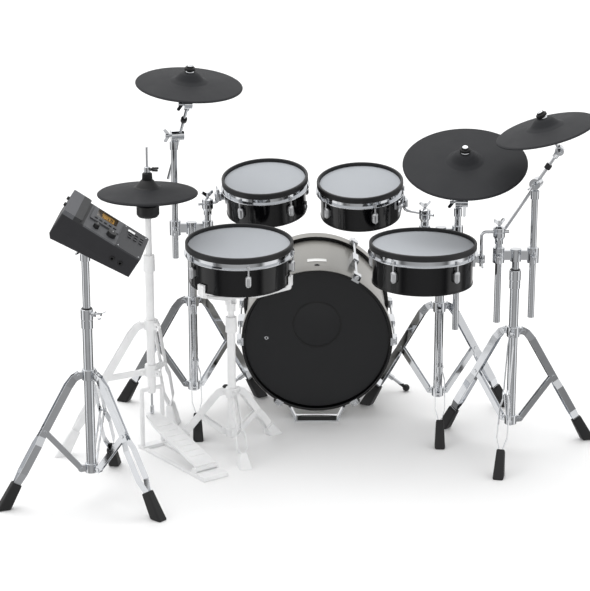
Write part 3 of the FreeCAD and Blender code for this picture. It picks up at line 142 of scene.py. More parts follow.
@dataclass(frozen=True)
class Finish:
    """A plain material; the kinds below add what their making leaves on the surface.

    Tint and wear are factors of colour and roughness at both ends of a mask, and depth_mm is the
    depth of the relief.
    """

    name: str
    colour: str
    roughness: float
    metallic: float = 0.0
    ior: float = 1.5
    coat: float = 0.0
    sheen: float = 0.0
    tint: Pair = (1.0, 1.0)
    wear: Pair = (1.0, 1.0)
    depth_mm: float = 0.0

    def material(self, place: Matrix = IDENTITY, suffix: str = "") -> bpy.types.Material:
        """Make the material, or find it where it is made already.

        Args:
            place: Where the pattern is centred, in millimetres.
            suffix: Name of the piece, where the pattern follows one piece.

        Returns:
            The material.
        """
        title = self.name + ("." + suffix if suffix else "")
        found = bpy.data.materials.get(title)
        if found:
            return found
        made = bpy.data.materials.new(title)
        made.use_nodes = True
        tree = made.node_tree
        shader = tree.nodes["Principled BSDF"]
        settings = {"Base Color": srgb(self.colour), "Roughness": self.roughness, "Metallic": self.metallic,
                    "IOR": self.ior, "Coat Weight": self.coat, "Coat Roughness": COAT_ROUGHNESS,
                    "Sheen Weight": self.sheen}
        for key, value in settings.items():
            shader.inputs[key].default_value = value
        spot = add(tree, "ShaderNodeTexCoord").outputs["Object"]
        local = add(tree, "ShaderNodeMapping",
                    {"Vector": spot, "Location": place.translation * MM, "Rotation": place.to_euler(),
                     "Scale": (MM, MM, MM)}, vector_type="TEXTURE")
        self.surface(tree, local.outputs["Vector"], shader)
        return made

    def surface(self, tree: Tree, spot: Socket, shader: Node) -> None:
        """Add the pattern to the shader; a plain finish has none."""

    def weather(self, tree: Tree, shader: Node, mask: Socket, height: Socket | None = None) -> None:
        """Let a mask vary colour and roughness, and raise the surface by a height.

        Args:
            tree: Node tree of the material.
            shader: Shader that gets the links.
            mask: Value from 0 to 1.
            height: Relief from 0 to 1, where there is one.
        """
        ends = [tuple(min(1.0, part * factor) for part in srgb(self.colour)[:3]) + (1.0,)
                for factor in self.tint]
        colour = add(tree, "ShaderNodeMix", {0: mask, 6: ends[0], 7: ends[1]}, data_type="RGBA")
        tree.links.new(colour.outputs[2], shader.inputs["Base Color"])
        low, high = (self.roughness * factor for factor in self.wear)
        if low != high:
            gloss = add(tree, "ShaderNodeMapRange", {"Value": mask, "To Min": low, "To Max": high})
            tree.links.new(gloss.outputs["Result"], shader.inputs["Roughness"])
        if height:
            bump = add(tree, "ShaderNodeBump",
                       {"Height": height, "Strength": BUMP_STRENGTH, "Distance": self.depth_mm * MM})
            tree.links.new(bump.outputs["Normal"], shader.inputs["Normal"])

    def inlay(self, tree: Tree, shader: Node, mask: Socket, other: "Finish") -> None:
        """Let another finish take over where a mask is 1.

        Args:
            tree: Node tree of the material.
            shader: Shader whose colour and roughness are linked already.
            mask: Value from 0 to 1.
            other: Finish that takes over.
        """
        own_colour, own_gloss = (shader.inputs[key].links[0].from_socket
                                 for key in ("Base Color", "Roughness"))
        colour = add(tree, "ShaderNodeMix", {0: mask, 6: own_colour, 7: srgb(other.colour)},
                     data_type="RGBA")
        gloss = add(tree, "ShaderNodeMix", {0: mask, 2: own_gloss, 3: other.roughness})
        metal = add(tree, "ShaderNodeMapRange",
                    {"Value": mask, "To Min": self.metallic, "To Max": other.metallic})
        tree.links.new(colour.outputs[2], shader.inputs["Base Color"])
        tree.links.new(gloss.outputs[0], shader.inputs["Roughness"])
        tree.links.new(metal.outputs["Result"], shader.inputs["Metallic"])


@dataclass(frozen=True)
class Plated(Finish):
    """Steel under bright chrome: a mirror with faint wipe marks and a slight ripple from polishing."""

    tint: Pair = (0.88, 1.08)
    wear: Pair = (0.5, 1.7)
    depth_mm: float = 0.03
    smudge_mm: float = 38.0
    ripple_mm: float = 14.0

    def surface(self, tree: Tree, spot: Socket, shader: Node) -> None:
        """Vary the roughness with wipe marks and ripple the mirror.

        Args:
            tree: Node tree of the material.
            spot: Place in the pattern, in millimetres.
            shader: Shader that gets the pattern.
        """
        smudge = add(tree, "ShaderNodeTexNoise",
                     {"Vector": spot, "Scale": 1 / self.smudge_mm, "Detail": 5.0})
        ripple = add(tree, "ShaderNodeTexNoise",
                     {"Vector": spot, "Scale": 1 / self.ripple_mm, "Detail": 1.0})
        self.weather(tree, shader, smudge.outputs["Fac"], ripple.outputs["Fac"])


@dataclass(frozen=True)
class Moulded(Finish):
    """Plastic or rubber from a mould with a spark-eroded grain, a little shinier where it is handled."""

    tint: Pair = (0.86, 1.14)
    wear: Pair = (0.85, 1.15)
    depth_mm: float = 0.06
    grain_mm: float = 0.9
    patch_mm: float = 45.0

    def surface(self, tree: Tree, spot: Socket, shader: Node) -> None:
        """Add the grain as a bump and broad patches of wear to colour and roughness.

        Args:
            tree: Node tree of the material.
            spot: Place in the pattern, in millimetres.
            shader: Shader that gets the pattern.
        """
        grain = add(tree, "ShaderNodeTexNoise",
                    {"Vector": spot, "Scale": 1 / self.grain_mm, "Detail": 3.0})
        patch = add(tree, "ShaderNodeTexNoise",
                    {"Vector": spot, "Scale": 1 / self.patch_mm, "Detail": 4.0})
        self.weather(tree, shader, patch.outputs["Fac"], grain.outputs["Fac"])


@dataclass(frozen=True)
class Lacquered(Finish):
    """Wood under polished polyester lacquer: deep gloss with a faint orange peel."""

    tint: Pair = (0.8, 1.25)
    wear: Pair = (0.6, 1.6)
    depth_mm: float = 0.02
    peel_mm: float = 6.0
    haze_mm: float = 70.0

    def surface(self, tree: Tree, spot: Socket, shader: Node) -> None:
        """Ripple the gloss and let polishing haze vary its roughness.

        Args:
            tree: Node tree of the material.
            spot: Place in the pattern, in millimetres.
            shader: Shader that gets the pattern.
        """
        peel = add(tree, "ShaderNodeTexNoise", {"Vector": spot, "Scale": 1 / self.peel_mm, "Detail": 1.0})
        haze = add(tree, "ShaderNodeTexNoise", {"Vector": spot, "Scale": 1 / self.haze_mm, "Detail": 4.0})
        self.weather(tree, shader, haze.outputs["Fac"], peel.outputs["Fac"])


@dataclass(frozen=True)
class Ringed(Finish):
    """Rubber moulded over a cymbal core, with lathe-like rings."""

    tint: Pair = (0.86, 1.14)
    wear: Pair = (0.88, 1.12)
    depth_mm: float = 0.16
    ring_mm: float = 3.2
    grain_mm: float = 1.0
    grain_share: float = 0.35
    patch_mm: float = 60.0

    def surface(self, tree: Tree, spot: Socket, shader: Node) -> None:
        """Add rings as a bump that follows the distance from the piece's own axis.

        Args:
            tree: Node tree of the material.
            spot: Place in the pattern, in millimetres.
            shader: Shader that gets the pattern.
        """
        turns = add(tree, "ShaderNodeMath", {0: from_axis(tree, spot), 1: math.tau / self.ring_mm},
                    operation="MULTIPLY")
        wave = add(tree, "ShaderNodeMath", {0: turns.outputs["Value"]}, operation="SINE")
        patch = add(tree, "ShaderNodeTexNoise",
                    {"Vector": spot, "Scale": 1 / self.patch_mm, "Detail": 5.0})
        grain = add(tree, "ShaderNodeTexNoise",
                    {"Vector": spot, "Scale": 1 / self.grain_mm, "Detail": 2.0})
        height = add(tree, "ShaderNodeMath",
                     {0: grain.outputs["Fac"], 1: self.grain_share, 2: wave.outputs["Value"]},
                     operation="MULTIPLY_ADD")
        self.weather(tree, shader, patch.outputs["Fac"], height.outputs["Value"])


@dataclass(frozen=True)
class Woven(Finish):
    """Polyester mesh stretched over a drum: square threads, and a ridge where it bends over the shell.

    The ridge rises between two distances inside the edge, and is ridge_share times a thread high.
    """

    tint: Pair = (0.9, 1.04)
    depth_mm: float = 0.13
    thread_mm: float = 1.4
    edge_mm: float = 150.0
    ridge_mm: Pair = (9.0, 4.0)
    ridge_share: float = 4.0

    def surface(self, tree: Tree, spot: Socket, shader: Node) -> None:
        """Cross two sets of threads, drawn twice as coarse as the real ones so that they show.

        Args:
            tree: Node tree of the material.
            spot: Place in the pattern, in millimetres.
            shader: Shader that gets the pattern.
        """
        parts = add(tree, "ShaderNodeSeparateXYZ", {"Vector": spot})
        waves = []
        for axis in ("X", "Y"):
            turn = add(tree, "ShaderNodeMath", {0: parts.outputs[axis], 1: math.tau / self.thread_mm},
                       operation="MULTIPLY")
            waves.append(add(tree, "ShaderNodeMath", {0: turn.outputs["Value"]}, operation="SINE"))
        weave = add(tree, "ShaderNodeMath",
                    {0: waves[0].outputs["Value"], 1: waves[1].outputs["Value"]}, operation="MAXIMUM")
        start, end = (self.edge_mm - inside for inside in self.ridge_mm)
        ridge = add(tree, "ShaderNodeMapRange",
                    {"Value": from_axis(tree, spot), "From Min": start, "From Max": end},
                    interpolation_type="SMOOTHSTEP")
        height = add(tree, "ShaderNodeMath",
                     {0: ridge.outputs["Result"], 1: self.ridge_share, 2: weave.outputs["Value"]},
                     operation="MULTIPLY_ADD")
        self.weather(tree, shader, weave.outputs["Value"], height.outputs["Value"])


@dataclass(frozen=True)
class Flaked(Finish):
    """Plastic shell wrap with metal flakes under a clear skin, drawn in the long streaks of its rolling."""

    tint: Pair = (0.82, 1.1)
    wear: Pair = (0.8, 1.2)
    depth_mm: float = 0.02
    flake_mm: float = 1.3
    flake_share: float = 0.4
    streak_mm: float = 60.0
    streak_squeeze: float = 0.08

    def surface(self, tree: Tree, spot: Socket, shader: Node) -> None:
        """Give each flake its own brightness and tilt, and draw out streaks along the shell.

        Args:
            tree: Node tree of the material.
            spot: Place in the pattern, in millimetres.
            shader: Shader that gets the pattern.
        """
        flake = add(tree, "ShaderNodeTexVoronoi", {"Vector": spot, "Scale": 1 / self.flake_mm})
        split = add(tree, "ShaderNodeSeparateColor", {"Color": flake.outputs["Color"]})
        drawn = add(tree, "ShaderNodeMapping", {"Vector": spot, "Scale": (1.0, 1.0, self.streak_squeeze)})
        streak = add(tree, "ShaderNodeTexNoise",
                     {"Vector": drawn.outputs["Vector"], "Scale": 1 / self.streak_mm, "Detail": 4.0})
        both = add(tree, "ShaderNodeMath",
                   {0: split.outputs["Red"], 1: self.flake_share, 2: streak.outputs["Fac"]},
                   operation="MULTIPLY_ADD")
        self.weather(tree, shader, both.outputs["Value"], split.outputs["Blue"])


@dataclass(frozen=True)
class Banded(Lacquered):
    """Lacquered wooden hoop whose outer face is painted in the shell's silver wrap: a painted reflection of
    the bright studio on the glossy black.
    """

    reflection_from_mm: float = 0.0
    # Finish whose silver paints the reflection on the hoop's outer face.
    wrap: Finish | None = None

    def surface(self, tree: Tree, spot: Socket, shader: Node) -> None:
        """Lay the painted reflection, in the wrap's finish, over all that lies further from the drum's axis
        than the hoop's edge.

        Args:
            tree: Node tree of the material.
            spot: Place in the pattern, in millimetres.
            shader: Shader that gets the pattern.
        """
        super().surface(tree, spot, shader)
        outer = add(tree, "ShaderNodeMath", {0: from_axis(tree, spot), 1: self.reflection_from_mm},
                    operation="GREATER_THAN")
        # Painted reflection: the wrap's silver takes over the outer face in place of the studio's grey
        # reflection on the glossy black.
        self.inlay(tree, shader, outer.outputs["Value"], self.wrap)


@dataclass(frozen=True)
class Tipped(Finish):
    """Piece of one finish with a slice of it in another, such as a rubber foot or a plastic cap."""

    base: Finish | None = None
    tip: Finish | None = None
    side: tuple[float, float, float] = (0.0, 0.0, 1.0)
    middle_mm: float = 0.0
    half_mm: float = 0.0

    def surface(self, tree: Tree, spot: Socket, shader: Node) -> None:
        """Let the tip's finish take over within a distance of the slice's middle.

        Args:
            tree: Node tree of the material.
            spot: Place in the pattern, in millimetres.
            shader: Shader that gets the pattern.
        """
        self.base.surface(tree, spot, shader)
        reach = add(tree, "ShaderNodeVectorMath", {0: spot, 1: self.side}, operation="DOT_PRODUCT")
        within = add(tree, "ShaderNodeMath",
                     {0: reach.outputs["Value"], 1: self.middle_mm, 2: self.half_mm}, operation="COMPARE")
        self.inlay(tree, shader, within.outputs["Value"], self.tip)


@dataclass(frozen=True)
class Panelled(Moulded):
    """Case of the sound module: charcoal sides, and top panels in several greys.

    Each panel has the place where it starts, from the middle of the case, and its colour.
    """

    panels: tuple[tuple[float, str], ...] = ()
    width_mm: float = 252.0
    top_mm: float = 22.0
    fade: Pair = (0.88, 1.12)

    def surface(self, tree: Tree, spot: Socket, shader: Node) -> None:
        """Colour the top in bands across the case.

        Args:
            tree: Node tree of the material.
            spot: Place in the pattern, in millimetres.
            shader: Shader that gets the pattern.
        """
        super().surface(tree, spot, shader)
        parts = add(tree, "ShaderNodeSeparateXYZ", {"Vector": spot})
        half = self.width_mm / 2
        across = add(tree, "ShaderNodeMapRange",
                     {"Value": parts.outputs["X"], "From Min": -half, "From Max": half})
        ramp = add(tree, "ShaderNodeValToRGB", {"Fac": across.outputs["Result"]})
        ramp.color_ramp.interpolation = "CONSTANT"
        set_stops(ramp, [(start / self.width_mm + 0.5, srgb(colour)) for start, colour in self.panels])
        patch = add(tree, "ShaderNodeTexNoise",
                    {"Vector": spot, "Scale": 1 / self.patch_mm, "Detail": 4.0})
        shade = add(tree, "ShaderNodeMapRange",
                    {"Value": patch.outputs["Fac"], "To Min": self.fade[0], "To Max": self.fade[1]})
        faded = add(tree, "ShaderNodeHueSaturation",
                    {"Color": ramp.outputs["Color"], "Value": shade.outputs["Result"]})
        high = add(tree, "ShaderNodeMath", {0: parts.outputs["Z"], 1: self.top_mm},
                   operation="GREATER_THAN")
        side = shader.inputs["Base Color"].links[0].from_socket
        colour = add(tree, "ShaderNodeMix", {0: high.outputs["Value"], 6: side, 7: faded.outputs["Color"]},
                     data_type="RGBA")
        tree.links.new(colour.outputs[2], shader.inputs["Base Color"])


@dataclass(frozen=True)
class Display(Finish):
    """Liquid-crystal display behind a clear window, lit from behind, with plain level bars.

    The bars end within bar_reach_mm of the middle, and the lit field is twice field_mm wide and high.
    """

    tint: Pair = (0.05, 1.0)
    bar_mm: float = 4.0
    bar_share: float = 0.72
    bar_shade: float = 0.7
    bar_reach_mm: float = 12.0
    fade_mm: float = 18.0
    fade_to: float = 0.35
    glow: float = 0.35
    field_mm: Pair = (20.0, 15.0)

    def surface(self, tree: Tree, spot: Socket, shader: Node) -> None:
        """Draw a row of bars of different height over the backlight, inside a dark frame.

        Args:
            tree: Node tree of the material.
            spot: Place in the pattern, in millimetres.
            shader: Shader that gets the pattern.
        """
        parts = add(tree, "ShaderNodeSeparateXYZ", {"Vector": spot})
        cell = add(tree, "ShaderNodeMath", {0: parts.outputs["X"], 1: self.bar_mm}, operation="DIVIDE")
        whole = add(tree, "ShaderNodeMath", {0: cell.outputs["Value"]}, operation="FLOOR")
        part = add(tree, "ShaderNodeMath", {0: cell.outputs["Value"]}, operation="FRACT")
        level = add(tree, "ShaderNodeTexWhiteNoise", {"W": whole.outputs["Value"]}, noise_dimensions="1D")
        top = add(tree, "ShaderNodeMapRange",
                  {"Value": level.outputs["Value"], "To Min": -self.bar_reach_mm,
                   "To Max": self.bar_reach_mm})
        below = add(tree, "ShaderNodeMath", {0: parts.outputs["Y"], 1: top.outputs["Result"]},
                    operation="LESS_THAN")
        inside = add(tree, "ShaderNodeMath", {0: part.outputs["Value"], 1: self.bar_share},
                     operation="LESS_THAN")
        bar = add(tree, "ShaderNodeMath", {0: below.outputs["Value"], 1: inside.outputs["Value"]},
                  operation="MULTIPLY")
        fade = add(tree, "ShaderNodeMapRange",
                   {"Value": parts.outputs["Y"], "From Min": -self.fade_mm, "From Max": self.fade_mm,
                    "To Min": 1.0, "To Max": self.fade_to})
        share = add(tree, "ShaderNodeMath",
                    {0: bar.outputs["Value"], 1: -self.bar_shade, 2: fade.outputs["Result"]},
                    operation="MULTIPLY_ADD")
        wide, high = (add(tree, "ShaderNodeMath", {0: parts.outputs[axis], 1: 0.0, 2: reach},
                          operation="COMPARE")
                      for axis, reach in zip("XY", self.field_mm))
        field = add(tree, "ShaderNodeMath", {0: wide.outputs["Value"], 1: high.outputs["Value"]},
                    operation="MULTIPLY")
        lit = add(tree, "ShaderNodeMath", {0: share.outputs["Value"], 1: field.outputs["Value"]},
                  operation="MULTIPLY", use_clamp=True)
        self.weather(tree, shader, lit.outputs["Value"])
        tree.links.new(shader.inputs["Base Color"].links[0].from_socket, shader.inputs["Emission Color"])
        shader.inputs["Emission Strength"].default_value = self.glow


# Bright chrome shows the studio as streaks of white, grey and black.
CHROME = Plated("chrome_plated_steel", "#d6d8db", 0.08, metallic=1.0)
# Die-cast lugs have a satin plating that blurs the studio to one light grey.
SATIN = Plated("satin_chrome_casting", "#dcdddf", 0.34, metallic=1.0)
# Anodised aluminium has a soft pale sheen.
PLATE = Plated("satin_anodised_aluminium", "#e6e6e4", 0.32, metallic=1.0)
# Polished lacquer is near black, with clear reflections along the shell's sides.
LACQUER = Lacquered("black_polyester_lacquer", "#060608", 0.09, ior=1.45)
# Mesh is a pale even grey; its threads only show close by.
MESH = Woven("polyester_mesh", "#b3b7bc", 0.78, sheen=0.1)
# Rubber on the rims is a soft dark grey with dull highlights on its rounded edges.
RIM_RUBBER = Moulded("moulded_rim_rubber", "#161618", 0.5, grain_mm=0.8)
# Rubber feet are the same, but duller and coarser.
FOOT_RUBBER = Moulded("moulded_foot_rubber", "#151516", 0.58, grain_mm=1.0)
# Cymbal rubber is charcoal and nearly matt, with fine rings that catch a broad soft light.
CYMBAL_RUBBER = Ringed("moulded_cymbal_rubber", "#232427", 0.66, ior=1.36)
# The wrap is a warm silver that goes from pale to mid grey round the shell.
WRAP = Flaked("silver_shell_wrap", "#93918c", 0.34, metallic=0.55, coat=0.2)
# The wooden hoops are glossy black; the silver on their outer face is a painted reflection of the studio,
# laid on in the shell's wrap.
HOOP_LACQUER = Banded("maple_hoop_painted_reflection", "#08080a", 0.12, reflection_from_mm=241.0, wrap=WRAP)
# Film on the bass drum is an even satin black.
FILM = Moulded("satin_polyester_film", "#141518", 0.5, grain_mm=1.4, depth_mm=0.03)
# The ring round the patch is a shade blacker and glossier than the film.
FILM_RING = Moulded("thick_polyester_ring", "#060607", 0.42, grain_mm=1.4, depth_mm=0.03)
# Foam is a dull grey with open pores.
FOAM = Moulded("closed_cell_foam", "#2b2b2d", 0.8, grain_mm=2.2, depth_mm=0.3)
# Powder coat is nearly white, with a fine grain that softens its highlights.
PALE_COAT = Moulded("pale_powder_coat", "#f4f5f6", 0.4, grain_mm=1.6, depth_mm=0.04)
# Black plastic is slightly grained, with soft highlights.
BLACK_ABS = Moulded("black_abs", "#151517", 0.42)
# Nylon is blacker and duller than the other plastics.
NYLON = Moulded("black_nylon", "#08080a", 0.6)
# The module's case is matt charcoal, with paler and darker panels on top.
CASE_ABS = Panelled("charcoal_abs", "#222226", 0.55, grain_mm=0.7,
                    panels=((-126.0, "#55565a"), (-92.0, "#2a2b2d"), (-60.0, "#4f5053"), (44.0, "#333437")))
# Its skirt is the charcoal of its sides.
SKIRT_ABS = Moulded("charcoal_abs_skirt", "#222226", 0.55, grain_mm=0.7)
# Keys are a shade paler than the case, and smoother.
KEY_ABS = Moulded("dark_key_abs", "#333437", 0.4)
# The wide key and the knobs' marks stand out nearly white.
PALE_ABS = Moulded("pale_key_abs", "#eceded", 0.35)
# The display glows amber behind a glossy window.
WINDOW = Display("amber_display", "#a8803c", 0.12, coat=1.0)
# Spurs are chrome rods that end in black rubber.
SPUR_CHROME = Tipped("rubber_tipped_chrome", CHROME.colour, CHROME.roughness, metallic=1.0, base=CHROME,
                     tip=FOOT_RUBBER, middle_mm=14.0, half_mm=15.0)
# The hi-hat's rod is chrome, and the wings of its clutch are black.
CLUTCH_CHROME = Tipped("black_winged_chrome", CHROME.colour, CHROME.roughness, metallic=1.0, base=CHROME,
                       tip=BLACK_ABS, side=(1.0, 0.0, 0.0), middle_mm=35.3, half_mm=25.0)


def leaning(point: Point, lean: Point) -> Matrix:
    """Place at a point, leaning to the drummer and then to the right.

    Args:
        point: Where the place is, in millimetres.
        lean: Angles to the drummer and to the right, in degrees.

    Returns:
        The place.
    """
    turn = Matrix.Rotation(math.radians(lean[1]), 4, "Y") @ Matrix.Rotation(math.radians(lean[0]), 4, "X")
    return Matrix.Translation(point) @ turn


def facing(point: Point, direction: Point) -> Matrix:
    """Place at a point whose Z axis runs along a direction.

    Args:
        point: Where the place is, in millimetres.
        direction: Where its Z axis points.

    Returns:
        The place.
    """
    return Matrix.Translation(point) @ Vector(direction).to_track_quat("Z", "Y").to_matrix().to_4x4()


def turned(profile: Profile, segments: int = 64, closed: bool = False) -> Shape:
    """Spin a profile about the Z axis.

    Args:
        profile: Points of radius and height, in millimetres.
        segments: Steps of the full turn.
        closed: Whether the last point joins the first, as in a ring.

    Returns:
        The turned shape.
    """
    shape = bmesh.new()
    spots = [shape.verts.new((radius, 0.0, height)) for radius, height in profile]
    pairs = list(zip(spots, spots[1:])) + ([(spots[-1], spots[0])] if closed else [])
    edges = [shape.edges.new(pair) for pair in pairs]
    bmesh.ops.spin(shape, geom=spots + edges, cent=(0, 0, 0), axis=(0, 0, 1), angle=math.tau,
                   steps=segments, use_merge=True)
    bmesh.ops.remove_doubles(shape, verts=shape.verts, dist=1e-4)
    bmesh.ops.dissolve_degenerate(shape, edges=shape.edges, dist=1e-5)
    bmesh.ops.recalc_face_normals(shape, faces=shape.faces)
    return shape


def block(size: Point, centre: Point = (0, 0, 0), easing: float = 0.8) -> Shape:
    """Make a box with rounded edges.

    Args:
        size: Lengths along X, Y and Z, in millimetres.
        centre: Middle of the box.
        easing: Radius of its edges.

    Returns:
        The box.
    """
    shape = bmesh.new()
    bmesh.ops.create_cube(shape, size=1.0)
    bmesh.ops.scale(shape, vec=size, verts=shape.verts)
    bmesh.ops.translate(shape, vec=centre, verts=shape.verts)
    return eased(shape, easing)


def drawn_out(outline: Sequence[Point], along: Point, easing: float = 0.8) -> Shape:
    """Draw a flat outline out to a solid with rounded edges.

    Args:
        outline: Corners in order, in millimetres.
        along: How far, and in which direction, the outline is drawn out.
        easing: Radius of the edges.

    Returns:
        The solid.
    """
    shape = bmesh.new()
    face = shape.faces.new([shape.verts.new(corner) for corner in outline])
    grown = bmesh.ops.extrude_face_region(shape, geom=[face])["geom"]
    corners = [item for item in grown if isinstance(item, bmesh.types.BMVert)]
    bmesh.ops.translate(shape, vec=along, verts=corners)
    bmesh.ops.recalc_face_normals(shape, faces=shape.faces)
    return eased(shape, easing)


def eased(shape: Shape, radius: float, angle: float = 35.0) -> Shape:
    """Round a shape's sharp edges.

    Args:
        shape: Shape to change.
        radius: Radius of the rounding, in millimetres.
        angle: Edges that turn by more than this many degrees are rounded.

    Returns:
        The same shape.
    """
    sharp = [edge for edge in shape.edges
             if edge.is_manifold and edge.calc_face_angle() > math.radians(angle)]
    bmesh.ops.bevel(shape, geom=sharp, offset=radius, offset_type="OFFSET", affect="EDGES", segments=3,
                    profile=0.5, material=-1)
    return shape


def joined(shapes: Sequence[Shape]) -> Shape:
    """Put several shapes into one.

    Args:
        shapes: Shapes, which are freed.

    Returns:
        One shape with all their faces.
    """
    whole = bmesh.new()
    carrier = bpy.data.meshes.new("carrier")
    for shape in shapes:
        shape.to_mesh(carrier)
        shape.free()
        whole.from_mesh(carrier)
    bpy.data.meshes.remove(carrier)
    return whole


def islands(shape: Shape) -> list[set[bmesh.types.BMVert]]:
    """Find the connected parts of a shape.

    Args:
        shape: Shape to search.

    Returns:
        The vertices of each part.
    """
    found = []
    left = set(shape.verts)
    while left:
        part, front = set(), {next(iter(left))}
        while front:
            part |= front
            front = {edge.other_vert(vert) for vert in front for edge in vert.link_edges} - part
        found.append(part)
        left -= part
    return found


def moved(shape: Shape, place: Matrix) -> Shape:
    """Carry a shape to a place and return it."""
    bmesh.ops.transform(shape, matrix=place, verts=shape.verts)
    return shape


def publish(shape: Shape, name: str, body: str, material: bpy.types.Material,
            place: Matrix = IDENTITY, stands_for: Sequence[str] = ()) -> None:
    """Make a finished piece that rides on a body.

    Args:
        shape: Shape in millimetres, which is freed.
        name: Name of the piece.
        body: CAD body that carries it.
        material: Its material.
        place: Where the shape goes, in millimetres.
        stands_for: CAD nodes that the piece replaces.
    """
    moved(shape, Matrix.Scale(MM, 4) @ place)
    mesh = bpy.data.meshes.new(name)
    shape.to_mesh(mesh)
    shape.free()
    mesh.shade_smooth()
    mesh.set_sharp_from_angle(angle=SHARP)
    mesh.materials.append(material)
    piece = bpy.data.objects.new(name, mesh)
    bpy.context.scene.collection.objects.link(piece)
    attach(piece, body)
    if stands_for:
        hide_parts(*stands_for)
    LOG.info("%s rides on %s, %d faces", name, body, len(mesh.polygons))


def dress(node: str, material: bpy.types.Material) -> None:
    """Give a CAD node its material.

    Args:
        node: Name of the node.
        material: Its material.
    """
    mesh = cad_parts[node].data
    mesh.materials.clear()
    mesh.materials.append(material)
    LOG.info("%s dressed in %s", node, material.name)


def jack_nut() -> Shape:
    """Return a round nut with a washer for a quarter-inch jack, standing on the XY plane."""
    profile = ((3.5, 0.0), (8.0, 0.0), (8.0, 0.8), (6.2, 1.0), (6.2, 3.2), (5.4, 3.8), (3.5, 3.8))
    return turned(profile, 24, True)


def screw_head(point: Point) -> Shape:
    """Make a small domed screw head with a raised cross.

    Args:
        point: Where it stands, in millimetres.

    Returns:
        The screw head.
    """
    dome = turned(((0.0, 0.0), (2.3, 0.0), (2.3, 0.5), (1.6, 1.3), (0.0, 1.5)), 16)
    cross = [block(size, (0, 0, 1.45), 0.1) for size in ((2.4, 0.6, 0.3), (0.6, 2.4, 0.3))]
    return moved(joined([dome] + cross), Matrix.Translation(point))


def fluted_knob(radius: float, height: float, flutes: int) -> Shape:
    """Make a knob whose side has upright flutes.

    Args:
        radius: Outer radius, in millimetres.
        height: Height above the XY plane.
        flutes: Number of flutes.

    Returns:
        The knob.
    """
    shoulder = height * 0.82
    crown = radius * 0.86
    flute_depth = 0.93
    shape = turned(((0.0, 0.0), (radius, 0.0), (radius, shoulder), (crown, height), (0.0, height)),
                   flutes * 4)
    pitch = 360 / flutes
    side = [vert for vert in shape.verts if math.hypot(vert.co.x, vert.co.y) > radius * 0.95]
    for vert in side:
        share = math.degrees(math.atan2(vert.co.y, vert.co.x)) % pitch / pitch
        if 0.2 < share < 0.8:
            vert.co.xy *= flute_depth
    return shape


@dataclass
class MeshDrum:
    """One small drum: shell, mesh head, hoop with rubber rim, lugs and jack."""

    name: str
    at: Point
    lean: Point
    radius: float
    lug_start: float
    arm: bool = True
    jack_z: float = -84.0
    jack_plate: float = 5.0
    screw_spread: float = 9.5
    lug_step: float = 72.0

    def place(self) -> Matrix:
        """Return the place of the head's middle."""
        return leaning(self.at, self.lean)

    def build(self) -> None:
        """Add the nut round the jack socket and the screws of its plate."""
        turn = Matrix.Rotation(math.radians(self.lug_start + 1.5 * self.lug_step), 4, "Z")
        seat = self.place() @ turn @ facing((self.radius + self.jack_plate, 0.0, self.jack_z), (1, 0, 0))
        spread = self.screw_spread
        screws = [screw_head((x, y, 0)) for x in (-spread, spread) for y in (-spread, spread)]
        publish(jack_nut(), self.name + "_jack_nut", self.name, CHROME.material(), seat)
        publish(joined(screws), self.name + "_jack_screws", self.name, CHROME.material(), seat)

    def dress(self) -> None:
        """Give the drum's CAD nodes their materials."""
        head = replace(MESH, edge_mm=self.radius)
        dress(self.name + "_head", head.material(self.place(), self.name))
        dress(self.name + "_shell", LACQUER.material())
        dress(self.name + "_rim", RIM_RUBBER.material())
        dress(self.name + "_lugs", SATIN.material())
        dress(self.name + "_hoop", CHROME.material())
        if self.arm:
            dress(self.name + "_arm", CHROME.material())


